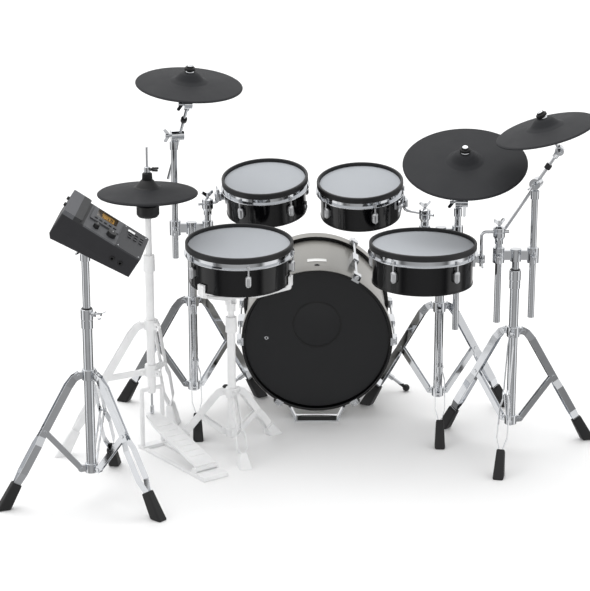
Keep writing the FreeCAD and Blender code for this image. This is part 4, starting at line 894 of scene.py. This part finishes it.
@dataclass
class CymbalPad:
    """One cymbal pad on its boom, with a cap over the nut, a stop on the boom and a jack under the bell."""

    name: str
    edge: Point
    lean: Point
    post: Point
    aside: float = 0.0
    rise: float = 34.0
    drop: float = 65.0
    cap: Profile = ((9.8, 9.6), (16.5, 11.0), (16.5, 17.5), (14.5, 19.6), (11.0, 20.2), (10.6, 24.5),
                    (9.8, 24.7))
    boom_side: float = 20.0
    stop: Profile = ((5.1, -8.0), (9.2, -8.0), (10.0, -6.5), (10.0, 6.5), (9.2, 8.0), (5.1, 8.0))
    stop_share: float = 0.5
    jack_at: Point = (0.0, 98.0, -43.5)
    jack_scale: float = 0.8

    def axis(self) -> Vector:
        """Return the direction of the pad's axis."""
        return leaning((0, 0, 0), self.lean).to_3x3() @ Vector((0, 0, 1))

    def tilter(self) -> Vector:
        """Return the point where the cymbal rod leaves the boom."""
        return Vector(self.edge) - self.axis() * self.drop + Vector((self.aside, 0, 0))

    def ball(self) -> Vector:
        """Return the point that the pad rocks about."""
        return Vector(self.edge) + self.axis() * self.rise

    def boom_start(self) -> Vector:
        """Find where the boom passes its post.

        Returns:
            The point of the boom beside its post, in millimetres.
        """
        flat = (self.tilter() - Vector(self.post)).xy
        lean = math.asin(self.boom_side / flat.length)
        ahead = Matrix.Rotation(-lean, 3, "Z") @ Vector((flat.x, flat.y, 0)).normalized()
        return Vector(self.post) + Matrix.Rotation(math.pi / 2, 3, "Z") @ ahead * self.boom_side

    def build(self) -> None:
        """Add the cap round the cymbal nut, the stop on the boom and the nut round the jack."""
        boom = self.name + "_boom"
        publish(turned(self.cap, 48, True), self.name + "_cap", boom, NYLON.material(),
                facing(self.ball(), self.ball() - self.tilter()))
        run = self.tilter() - self.boom_start()
        publish(turned(self.stop, 32, True), boom + "_stop", boom, BLACK_ABS.material(),
                facing(self.boom_start() + run * self.stop_share, run))
        nut = moved(jack_nut(), Matrix.Scale(self.jack_scale, 4))
        publish(nut, self.name + "_jack_nut", self.name, CHROME.material(),
                leaning(self.ball(), self.lean) @ facing(self.jack_at, (0, 1, 0)))

    def dress(self) -> None:
        """Give the pad its rings and the boom its chrome."""
        dress(self.name + "_pad", CYMBAL_RUBBER.material(leaning(self.ball(), self.lean), self.name))
        dress(self.name + "_boom", CHROME.material())


@dataclass
class HiHat:
    """Hi-hat pad with its cup, clutch, controller, pedal and pale stand."""

    axis: Point = (-514.0, -240.0)
    edge_z: float = 812.0
    rise: float = 34.0
    cup: Profile = ((8.6, 6.2), (17.0, 6.4), (19.0, 5.4), (35.0, -14.2), (41.0, -16.2), (41.6, -16.9),
                    (41.0, -17.4), (34.0, -15.6), (17.0, 5.6), (8.6, 5.9))
    seat: Profile = ((13.2, 6.6), (15.4, 6.6), (16.0, 8.0), (15.0, 25.0), (13.5, 27.0), (8.2, 27.0),
                     (8.2, 15.2), (13.2, 14.2))
    pedal_turn: float = -53.5
    pedal_hinge: Point = (292.0, 0.0, 20.0)
    pedal_slope: float = 14.3
    rib_size: Point = (6.0, 52.0, 1.6)
    rib_z: float = 13.6
    rib_start: float = -52.0
    rib_step: float = -30.0
    rib_count: int = 7

    def place(self) -> Matrix:
        """Return the place of the pad's middle."""
        return Matrix.Translation((*self.axis, self.edge_z + self.rise))

    def board(self) -> Matrix:
        """Find the place of the footboard's hinge.

        Returns:
            The place, with X along the board.
        """
        turn = Matrix.Rotation(math.radians(self.pedal_turn), 4, "Z")
        slope = Matrix.Rotation(math.radians(self.pedal_slope), 4, "Y")
        return Matrix.Translation((*self.axis, 0.0)) @ turn @ Matrix.Translation(self.pedal_hinge) @ slope

    def build(self) -> None:
        """Add the cup over the bell, the seat above it and the grip ribs across the footboard."""
        publish(turned(self.cup, 64, True), "hihat_cup", "hihat", NYLON.material(),
                self.place())
        publish(turned(self.seat, 48, True), "hihat_seat", "hihat", NYLON.material(),
                self.place())
        ribs = [block(self.rib_size, (self.rib_start + self.rib_step * index, 0.0, self.rib_z), 0.6)
                for index in range(self.rib_count)]
        publish(joined(ribs), "footboard_ribs", "hihat_pedal", PALE_COAT.material(),
                self.board())

    def dress(self) -> None:
        """Give the hi-hat's CAD nodes their materials."""
        dress("hihat_pad", CYMBAL_RUBBER.material(self.place(), "hihat"))
        dress("hihat_controller", BLACK_ABS.material())
        dress("hihat_rod", CLUTCH_CHROME.material(self.place(), "hihat"))
        for node in ("hihat_stand", "hihat_pedal_frame", "hihat_footboard"):
            dress(node, PALE_COAT.material())


@dataclass
class BassDrum:
    """Bass drum with its patch, vents, plate, hoops, claws, spurs and pedal plate.

    Heights of the film, patch and ring are along the drum, from the batter head's face.
    """

    height: float = 270.0
    tilt: float = 4.0
    radius: float = 228.6
    film_z: float = -0.05
    patch_radius: float = 73.5
    patch_z: float = -0.5
    patch_up: float = 53.5
    ring_width: float = 5.5
    ring_gap: float = 0.1
    ring_z: float = -0.9
    vent: Point = (-162.0, 7.0)
    eyelet: Profile = ((3.0, -0.1), (6.2, -0.1), (6.2, -0.8), (5.2, -1.6), (3.6, -1.6), (3.0, -1.0))
    plate_at: float = 120.0
    plate_size: Point = (62.0, 26.0)
    plate_faces: Point = (0.05, 1.2)
    shell_vent_at: float = 72.0
    grommet: Profile = ((0.0, 0.1), (4.5, 0.1), (4.8, 1.6), (7.0, 1.8), (8.4, 1.2), (8.6, 0.0),
                        (0.0, 0.0))
    base_half: float = 70.5
    base_front: float = -21.5
    base_depth: float = 62.0
    base_thick: float = 4.0
    cheek_top: Point = (91.5, 45.5)
    cheek_thick: float = 8.0
    cheek_fall: float = 3.0
    cheek_depth: Point = (-8.0, 26.0)
    bumper: Point = (10.0, 12.0)
    spur_station: float = 235.0
    spur_hinge_out: float = 27.0
    spur_foot: Point = (304.0, 279.0, 12.0)
    sleeve: Profile = ((6.2, 20.0), (8.6, 20.0), (9.2, 22.0), (9.2, 96.0), (8.6, 98.0), (6.2, 98.0))

    def place(self) -> Matrix:
        """Return the place of the batter head's middle, with Z along the drum."""
        lie = Matrix.Rotation(math.radians(self.tilt - 90), 4, "X")
        return Matrix.Translation((0, 0, self.height)) @ lie

    def spur_line(self, side: int) -> tuple[Vector, Vector]:
        """Find the line of a spur.

        Args:
            side: -1 for the left spur, 1 for the right one.

        Returns:
            The spur's hinge and its foot, in millimetres.
        """
        middle = self.place() @ Vector((0, 0, self.spur_station))
        foot = Vector((side * self.spur_foot[0], *self.spur_foot[1:]))
        turn = Matrix.Rotation(math.atan2(middle.z, foot.x), 4, "Z")
        hinge = self.place() @ turn @ Vector((self.radius + self.spur_hinge_out, 0, self.spur_station))
        return hinge, foot

    def pedal_plate(self) -> Shape:
        """Make the floor plate with the two cheeks that lean out to the batter hoop.

        Returns:
            The pedal plate, where it stands.
        """
        low, thick = self.base_half, self.cheek_thick
        high, rise = self.cheek_top
        front, back = self.cheek_depth
        parts = [block((2 * low, self.base_depth, self.base_thick),
                       (0, self.base_front + self.base_depth / 2, self.base_thick / 2))]
        for side in (-1, 1):
            outline = ((low - thick, 0.0), (low, 0.0), (high, rise), (high - thick, rise - self.cheek_fall))
            parts.append(drawn_out([(side * x, front, z) for x, z in outline], (0, back - front, 0)))
        return joined(parts)

    def plate(self) -> Shape:
        """Make the bare plate that follows the top of the shell.

        Returns:
            The plate, with the drum's axis as Z.
        """
        angle = self.plate_size[0] / self.radius
        half = self.plate_size[1] / 2
        inner, outer = self.plate_faces
        shape = bmesh.new()
        corners = [shape.verts.new((self.radius + out, 0.0, self.plate_at + side * half))
                   for out, side in ((inner, -1), (outer, -1), (outer, 1), (inner, 1))]
        face = shape.faces.new(corners)
        bmesh.ops.rotate(shape, verts=corners, cent=(0, 0, 0),
                         matrix=Matrix.Rotation(-math.pi / 2 - angle / 2, 3, "Z"))
        bmesh.ops.spin(shape, geom=corners + face.edges[:] + [face], cent=(0, 0, 0), axis=(0, 0, 1),
                       angle=angle, steps=16)
        bmesh.ops.remove_doubles(shape, verts=shape.verts, dist=1e-4)
        bmesh.ops.recalc_face_normals(shape, faces=shape.faces)
        return eased(shape, 0.4, 60)

    def build(self) -> None:
        """Add the head's and the shell's fittings, the open pedal plate and the spurs' sleeves."""
        self.head_fittings()
        self.shell_fittings()
        publish(self.pedal_plate(), "open_pedal_plate", "kit", CHROME.material(),
                stands_for=("bass_pedal_plate",))
        deep, high = self.bumper
        bumper = block((2 * (self.base_half - self.cheek_thick), deep, high),
                       (0, self.base_front + deep / 2, self.base_thick + high / 2), 2.0)
        publish(bumper, "pedal_bumper", "kit", FOOT_RUBBER.material())
        for name, side in (("spur_left", -1), ("spur_right", 1)):
            hinge, foot = self.spur_line(side)
            publish(turned(self.sleeve, 32, True), name + "_sleeve", name, CHROME.material(),
                    facing(hinge, foot - hinge))

    def head_fittings(self) -> None:
        """Add the patch with its ring and the vent's eyelet to the batter head."""
        radius = self.patch_radius
        inner = radius + self.ring_gap
        outer = radius + self.ring_width
        film = self.film_z
        spot = self.place() @ Matrix.Translation((0, -self.patch_up, 0))
        patch = turned(((0.0, self.patch_z), (radius - 1, self.patch_z), (radius, film), (0.0, film)), 96)
        publish(patch, "bass_patch", "kit", FILM.material(), spot)
        face = self.ring_z
        ring = turned(((inner, film), (inner, face), (outer - 1, face), (outer, film)), 96, True)
        publish(ring, "bass_patch_ring", "kit", FILM_RING.material(), spot)
        publish(turned(self.eyelet, 32, True), "bass_head_vent", "kit", CHROME.material(),
                self.place() @ Matrix.Translation((self.vent[0], -self.vent[1], 0)))

    def shell_fittings(self) -> None:
        """Add the bare plate and the vent's grommet to the top of the shell."""
        publish(self.plate(), "bass_plate", "kit", PLATE.material(), self.place())
        top = self.place() @ facing((0, -self.radius - 0.1, self.shell_vent_at), (0, -1, 0))
        publish(turned(self.grommet, 32), "bass_shell_vent", "kit", BLACK_ABS.material(), top)

    def dress(self) -> None:
        """Give the bass drum's CAD nodes their materials."""
        dress("bass_shell", WRAP.material(self.place(), "bass"))
        dress("bass_heads", FILM.material())
        # The hoops' silver outer face is a painted reflection.
        dress("bass_hoops", HOOP_LACQUER.material(self.place(), "bass"))
        dress("bass_kick", FOAM.material())
        dress("bass_claws", CHROME.material())
        dress("bass_pedal_plate", CHROME.material())
        for node in ("spur_left", "spur_right"):
            dress(node, SPUR_CHROME.material())


@dataclass
class Stands:
    """Chrome tripods with masts, and the pale snare stand with its basket."""

    places: Sequence[Point] = ((-662.0, -660.0), (-400.0, 74.0), (390.0, 10.0), (598.0, -253.0))
    clamp_top: float = 575.0
    bush: Profile = ((11.5, 0.0), (15.5, 0.0), (15.5, 1.6), (14.5, 2.6), (11.5, 2.6))
    foot_rounding: float = 4.0
    foot_share: float = 0.82
    chromed: Sequence[str] = ("stand_tubes", "stand_collars", "stand_legs", "left_mast", "centre_mast",
                              "right_mast", "module_mast")

    def feet(self) -> Shape:
        """Make rounded feet, slimmer at the ground, from the CAD feet with their triangles merged.

        Returns:
            All the stands' feet, in millimetres.
        """
        shape = bmesh.new()
        shape.from_mesh(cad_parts["stand_feet"].data)
        bmesh.ops.remove_doubles(shape, verts=shape.verts, dist=1e-6)
        bmesh.ops.dissolve_limit(shape, angle_limit=math.radians(2), verts=shape.verts, edges=shape.edges)
        moved(shape, Matrix.Scale(1 / MM, 4))
        for foot in islands(shape):
            ground = [vert for vert in foot if vert.co.z < 1.0]
            middle = sum((vert.co for vert in ground), Vector()) / len(ground)
            bmesh.ops.scale(shape, vec=(self.foot_share, self.foot_share, 1.0), verts=ground,
                            space=Matrix.Translation(-middle))
        return eased(shape, self.foot_rounding)

    def build(self) -> None:
        """Round the feet and add the nylon bush on top of each tripod's clamp."""
        publish(self.feet(), "rounded_stand_feet", "kit", FOOT_RUBBER.material(),
                stands_for=("stand_feet",))
        bushes = [moved(turned(self.bush, 32, True), Matrix.Translation((x, y, self.clamp_top)))
                  for x, y in self.places]
        publish(joined(bushes), "stand_bushes", "kit", BLACK_ABS.material())

    def dress(self) -> None:
        """Give the stands' CAD nodes their materials."""
        for node in self.chromed:
            dress(node, CHROME.material())
        dress("stand_feet", FOOT_RUBBER.material())
        for node in ("snare_stand", "snare_basket"):
            dress(node, PALE_COAT.material())


@dataclass
class SoundModule:
    """Sound module with its display, keys, knobs, sockets and bracket.

    Places are from the middle of the case. The skirt drops by the first length on the left and by the
    second on the right.
    """

    hinge: Point = (-662.0, -660.0, 764.0)
    lean: Point = (10.0, 33.0)
    offset: Point = (22.0, 0.0, 58.0)
    half: Point = (126.0, 74.5, 36.0)
    deck: float = 32.0
    panel: float = 27.0
    lit_at: Point = (-4.0, 33.0)
    dial: Point = (22.0, -42.0)
    dial_reach: float = 9.0
    volume: Point = (-26.0, -46.0)
    volume_reach: float = 6.0
    mark_size: Point = (1.2, 0.5)
    mark_share: float = 0.6
    mark_z: float = 40.15
    wide_key: Point = (72.0, 44.0, 30.6)
    wide_key_size: Point = (22.0, 11.0, 1.4)
    jacks: Sequence[float] = (58.0, 84.0)
    jack_z: float = -14.0
    side_knobs: Sequence[float] = (-12.0, 32.0)
    side_knob_size: Point = (5.5, 7.0)
    side_knob_flutes: int = 10
    side_knob_z: float = 22.0
    screws_x: Sequence[float] = (52.0, 118.0)
    screws_y: Sequence[float] = (-66.0, 66.0)
    skirt_drop: Point = (27.0, 1.5)
    skirt_wall: float = 4.0
    skirt_proud: float = 0.2
    skirt_lap: Point = (12.0, 10.0)
    skirt_chamfer: Point = (10.0, 14.0)

    def place(self) -> Matrix:
        """Return the place of the case's middle."""
        return leaning(self.hinge, self.lean) @ Matrix.Translation(self.offset)

    def skirt_panel(self) -> Shape:
        """Make a wall of the skirt that hides the bracket, deep on the left and shallow on the right.

        Returns:
            The wall, with its front on the XZ plane.
        """
        half = self.half[0]
        low = -self.half[2]
        cut_x, cut_z = self.skirt_chamfer
        deep, shallow = self.skirt_drop
        outline = ((-half, low + self.skirt_lap[0]), (half, low), (half, low - shallow),
                   (cut_x - half, low - deep), (-half, low - deep + cut_z))
        return drawn_out([(x, 0.0, z) for x, z in outline], (0, self.skirt_wall, 0))

    def skirt(self) -> Shape:
        """Make the skirt's front, back and left walls.

        Returns:
            The skirt.
        """
        wide, deep, high = self.half
        wall, proud, lap = self.skirt_wall, self.skirt_proud, self.skirt_lap[1]
        walls = [moved(self.skirt_panel(), Matrix.Translation((0, y, 0)))
                 for y in (-deep - proud, deep + proud - wall)]
        fall = self.skirt_drop[0] - self.skirt_chamfer[1]
        left = block((wall, 2 * (deep - wall), fall + lap),
                     (wall / 2 - wide, 0.0, lap / 2 - high - fall / 2), 0.6)
        return joined(walls + [left])

    def build(self) -> None:
        """Add the skirt, marks on the knobs, side knobs, a wide key, screws, and nuts round the sockets."""
        place = self.place()
        publish(self.skirt(), "module_skirt", "module", SKIRT_ABS.material(), place)
        wide, thick = self.mark_size
        for body, (x, y), reach in (("module_dial", self.dial, self.dial_reach),
                                    ("module_volume", self.volume, self.volume_reach)):
            long = reach * self.mark_share
            mark = block((wide, long, thick), (x, y + long, self.mark_z), 0.1)
            publish(mark, body + "_mark", body, PALE_ABS.material(), place)
        knobs = [moved(fluted_knob(*self.side_knob_size, self.side_knob_flutes),
                       facing((-self.half[0], spot, self.side_knob_z), (-1, 0, 0)))
                 for spot in self.side_knobs]
        publish(joined(knobs), "module_side_knobs", "module", BLACK_ABS.material(), place)
        nuts = [moved(jack_nut(), facing((spot, -self.half[1], self.jack_z), (0, -1, 0)))
                for spot in self.jacks]
        publish(joined(nuts), "module_jack_nuts", "module", BLACK_ABS.material(), place)
        key = block(self.wide_key_size, self.wide_key, 0.6)
        publish(key, "module_wide_key", "module_buttons", PALE_ABS.material(), place)
        screws = [screw_head((x, y, self.panel)) for x in self.screws_x for y in self.screws_y]
        publish(joined(screws), "module_panel_screws", "module", CHROME.material(), place)

    def dress(self) -> None:
        """Give the module's CAD nodes their materials."""
        dress("module_case", CASE_ABS.material(self.place(), "module"))
        window = self.place() @ Matrix.Translation((*self.lit_at, self.deck))
        dress("module_screen", WINDOW.material(window, "module"))
        dress("module_buttons", KEY_ABS.material())
        dress("module_dial", BLACK_ABS.material())
        dress("module_volume", BLACK_ABS.material())
        dress("module_mount", CHROME.material())


@dataclass
class Studio:
    """Plain pale floor, soft light and the camera, in metres and degrees.

    The boxes are levels of light round the horizon, from the camera's side (0) to the far side (1).
    """

    camera_at: Point = (-0.0704, -6.096, 2.2242)
    camera_pitch: float = 16.5
    focal_px: float = 2000.0
    image_px: float = 591.0
    sensor: float = 36.0
    view_end: float = 200.0
    floor_size: float = 60.0
    floor_drop: float = 0.0005
    paper: str = "#fafafa"
    paper_roughness: float = 0.7
    sun: float = 1.1
    sun_angle: float = 60.0
    sun_turn: Point = (-18.0, -12.0)
    boxes: Profile = ((0.0, 0.48), (0.08, 0.4), (0.18, 0.16), (0.28, 1.0), (0.5, 1.1), (0.62, 0.22),
                      (0.85, 0.12), (0.95, 0.9))
    sky: Point = (0.85, 1.1)
    sky_span: Point = (-0.6, 0.5)
    horizon: Point = (-0.12, -0.01)

    def build(self) -> None:
        """Make the floor, the lights, the surroundings and the camera."""
        self.floor()
        self.surroundings()
        self.lamps()
        self.camera()
        bpy.context.scene.view_settings.view_transform = "Standard"

    def floor(self) -> None:
        """Lay the floor under the object."""
        shape = bmesh.new()
        bmesh.ops.create_grid(shape, x_segments=1, y_segments=1, size=self.floor_size / 2)
        mesh = bpy.data.meshes.new("floor")
        shape.to_mesh(mesh)
        shape.free()
        paper = bpy.data.materials.new("white_paper")
        paper.use_nodes = True
        shader = paper.node_tree.nodes["Principled BSDF"]
        shader.inputs["Base Color"].default_value = srgb(self.paper)
        shader.inputs["Roughness"].default_value = self.paper_roughness
        mesh.materials.append(paper)
        floor = bpy.data.objects.new("floor", mesh)
        floor.location.z = -self.floor_drop
        floor.visible_glossy = False
        bpy.context.scene.collection.objects.link(floor)

    def surroundings(self) -> None:
        """Light the scene from all round: a pale sky, and below it tall soft boxes between dark gaps."""
        world = bpy.data.worlds.new("studio")
        world.use_nodes = True
        tree = world.node_tree
        direction = add(tree, "ShaderNodeTexCoord").outputs["Generated"]
        parts = add(tree, "ShaderNodeSeparateXYZ", {"Vector": direction})
        flat = add(tree, "ShaderNodeCombineXYZ", {"X": parts.outputs["X"], "Y": parts.outputs["Y"]})
        level = add(tree, "ShaderNodeVectorMath", {0: flat.outputs["Vector"]}, operation="NORMALIZE")
        way = add(tree, "ShaderNodeSeparateXYZ", {"Vector": level.outputs["Vector"]})
        ahead = add(tree, "ShaderNodeMapRange",
                    {"Value": way.outputs["Y"], "From Min": -1.0, "From Max": 1.0})
        boxes = add(tree, "ShaderNodeValToRGB", {"Fac": ahead.outputs["Result"]})
        boxes.color_ramp.interpolation = "EASE"
        set_stops(boxes, [(where, (light, light, light, 1.0)) for where, light in self.boxes])
        sky = add(tree, "ShaderNodeMapRange",
                  {"Value": parts.outputs["Y"], "From Min": self.sky_span[0], "From Max": self.sky_span[1],
                   "To Min": self.sky[0], "To Max": self.sky[1]}, interpolation_type="SMOOTHSTEP")
        above = add(tree, "ShaderNodeMapRange",
                    {"Value": parts.outputs["Z"], "From Min": self.horizon[0], "From Max": self.horizon[1]})
        light = add(tree, "ShaderNodeMix",
                    {0: above.outputs["Result"], 2: boxes.outputs["Color"], 3: sky.outputs["Result"]})
        back = tree.nodes["Background"]
        back.inputs["Color"].default_value = (1.0, 1.0, 1.0, 1.0)
        tree.links.new(light.outputs[0], back.inputs["Strength"])
        bpy.context.scene.world = world

    def lamps(self) -> None:
        lamp = bpy.data.lights.new("overhead", "SUN")
        lamp.energy = self.sun
        lamp.angle = math.radians(self.sun_angle)
        holder = bpy.data.objects.new("overhead", lamp)
        holder.rotation_euler = (math.radians(self.sun_turn[0]), math.radians(self.sun_turn[1]), 0)
        bpy.context.scene.collection.objects.link(holder)

    def camera(self) -> None:
        """Set the camera where the photograph was taken from."""
        lens = bpy.data.cameras.new("camera")
        lens.sensor_width = self.sensor
        lens.lens = self.focal_px / self.image_px * self.sensor
        lens.clip_end = self.view_end
        eye = bpy.data.objects.new("camera", lens)
        eye.location = self.camera_at
        eye.rotation_euler = (math.radians(90 - self.camera_pitch), 0, 0)
        bpy.context.scene.collection.objects.link(eye)
        bpy.context.scene.camera = eye


def main() -> None:
    """Build every sub-assembly in order and set the stage."""
    logging.basicConfig(level=logging.INFO, format="%(message)s")
    drums = (
        MeshDrum("snare", at=(-238.0, -290.0, 666.0), lean=(4.5, 0.0), radius=152.4, lug_start=-79.0,
                 arm=False),
        MeshDrum("tom_left", at=(-166.0, 90.0, 777.0), lean=(12.0, -3.0), radius=127.0, lug_start=-126.0),
        MeshDrum("tom_right", at=(136.0, 95.0, 763.0), lean=(12.0, -2.0), radius=127.0, lug_start=-72.0),
        MeshDrum("floor_tom", at=(316.0, -264.0, 656.0), lean=(1.0, 0.0), radius=152.4, lug_start=-54.0),
    )
    cymbals = (
        CymbalPad("crash_left", edge=(-394.0, -53.0, 1108.0), lean=(8.0, 4.3), post=(-452.0, 74.0, 922.0)),
        CymbalPad("ride", edge=(447.0, -150.0, 883.0), lean=(22.0, -3.0), post=(442.0, 10.0, 722.0)),
        CymbalPad("crash_right", edge=(675.0, -262.0, 1009.0), lean=(3.5, -15.0),
                  post=(650.0, -253.0, 842.0), aside=26.0),
    )
    for part in (*drums, *cymbals, HiHat(), BassDrum(), Stands(), SoundModule()):
        part.build()
        part.dress()
    Studio().build()


if __name__ == "__main__":
    main()
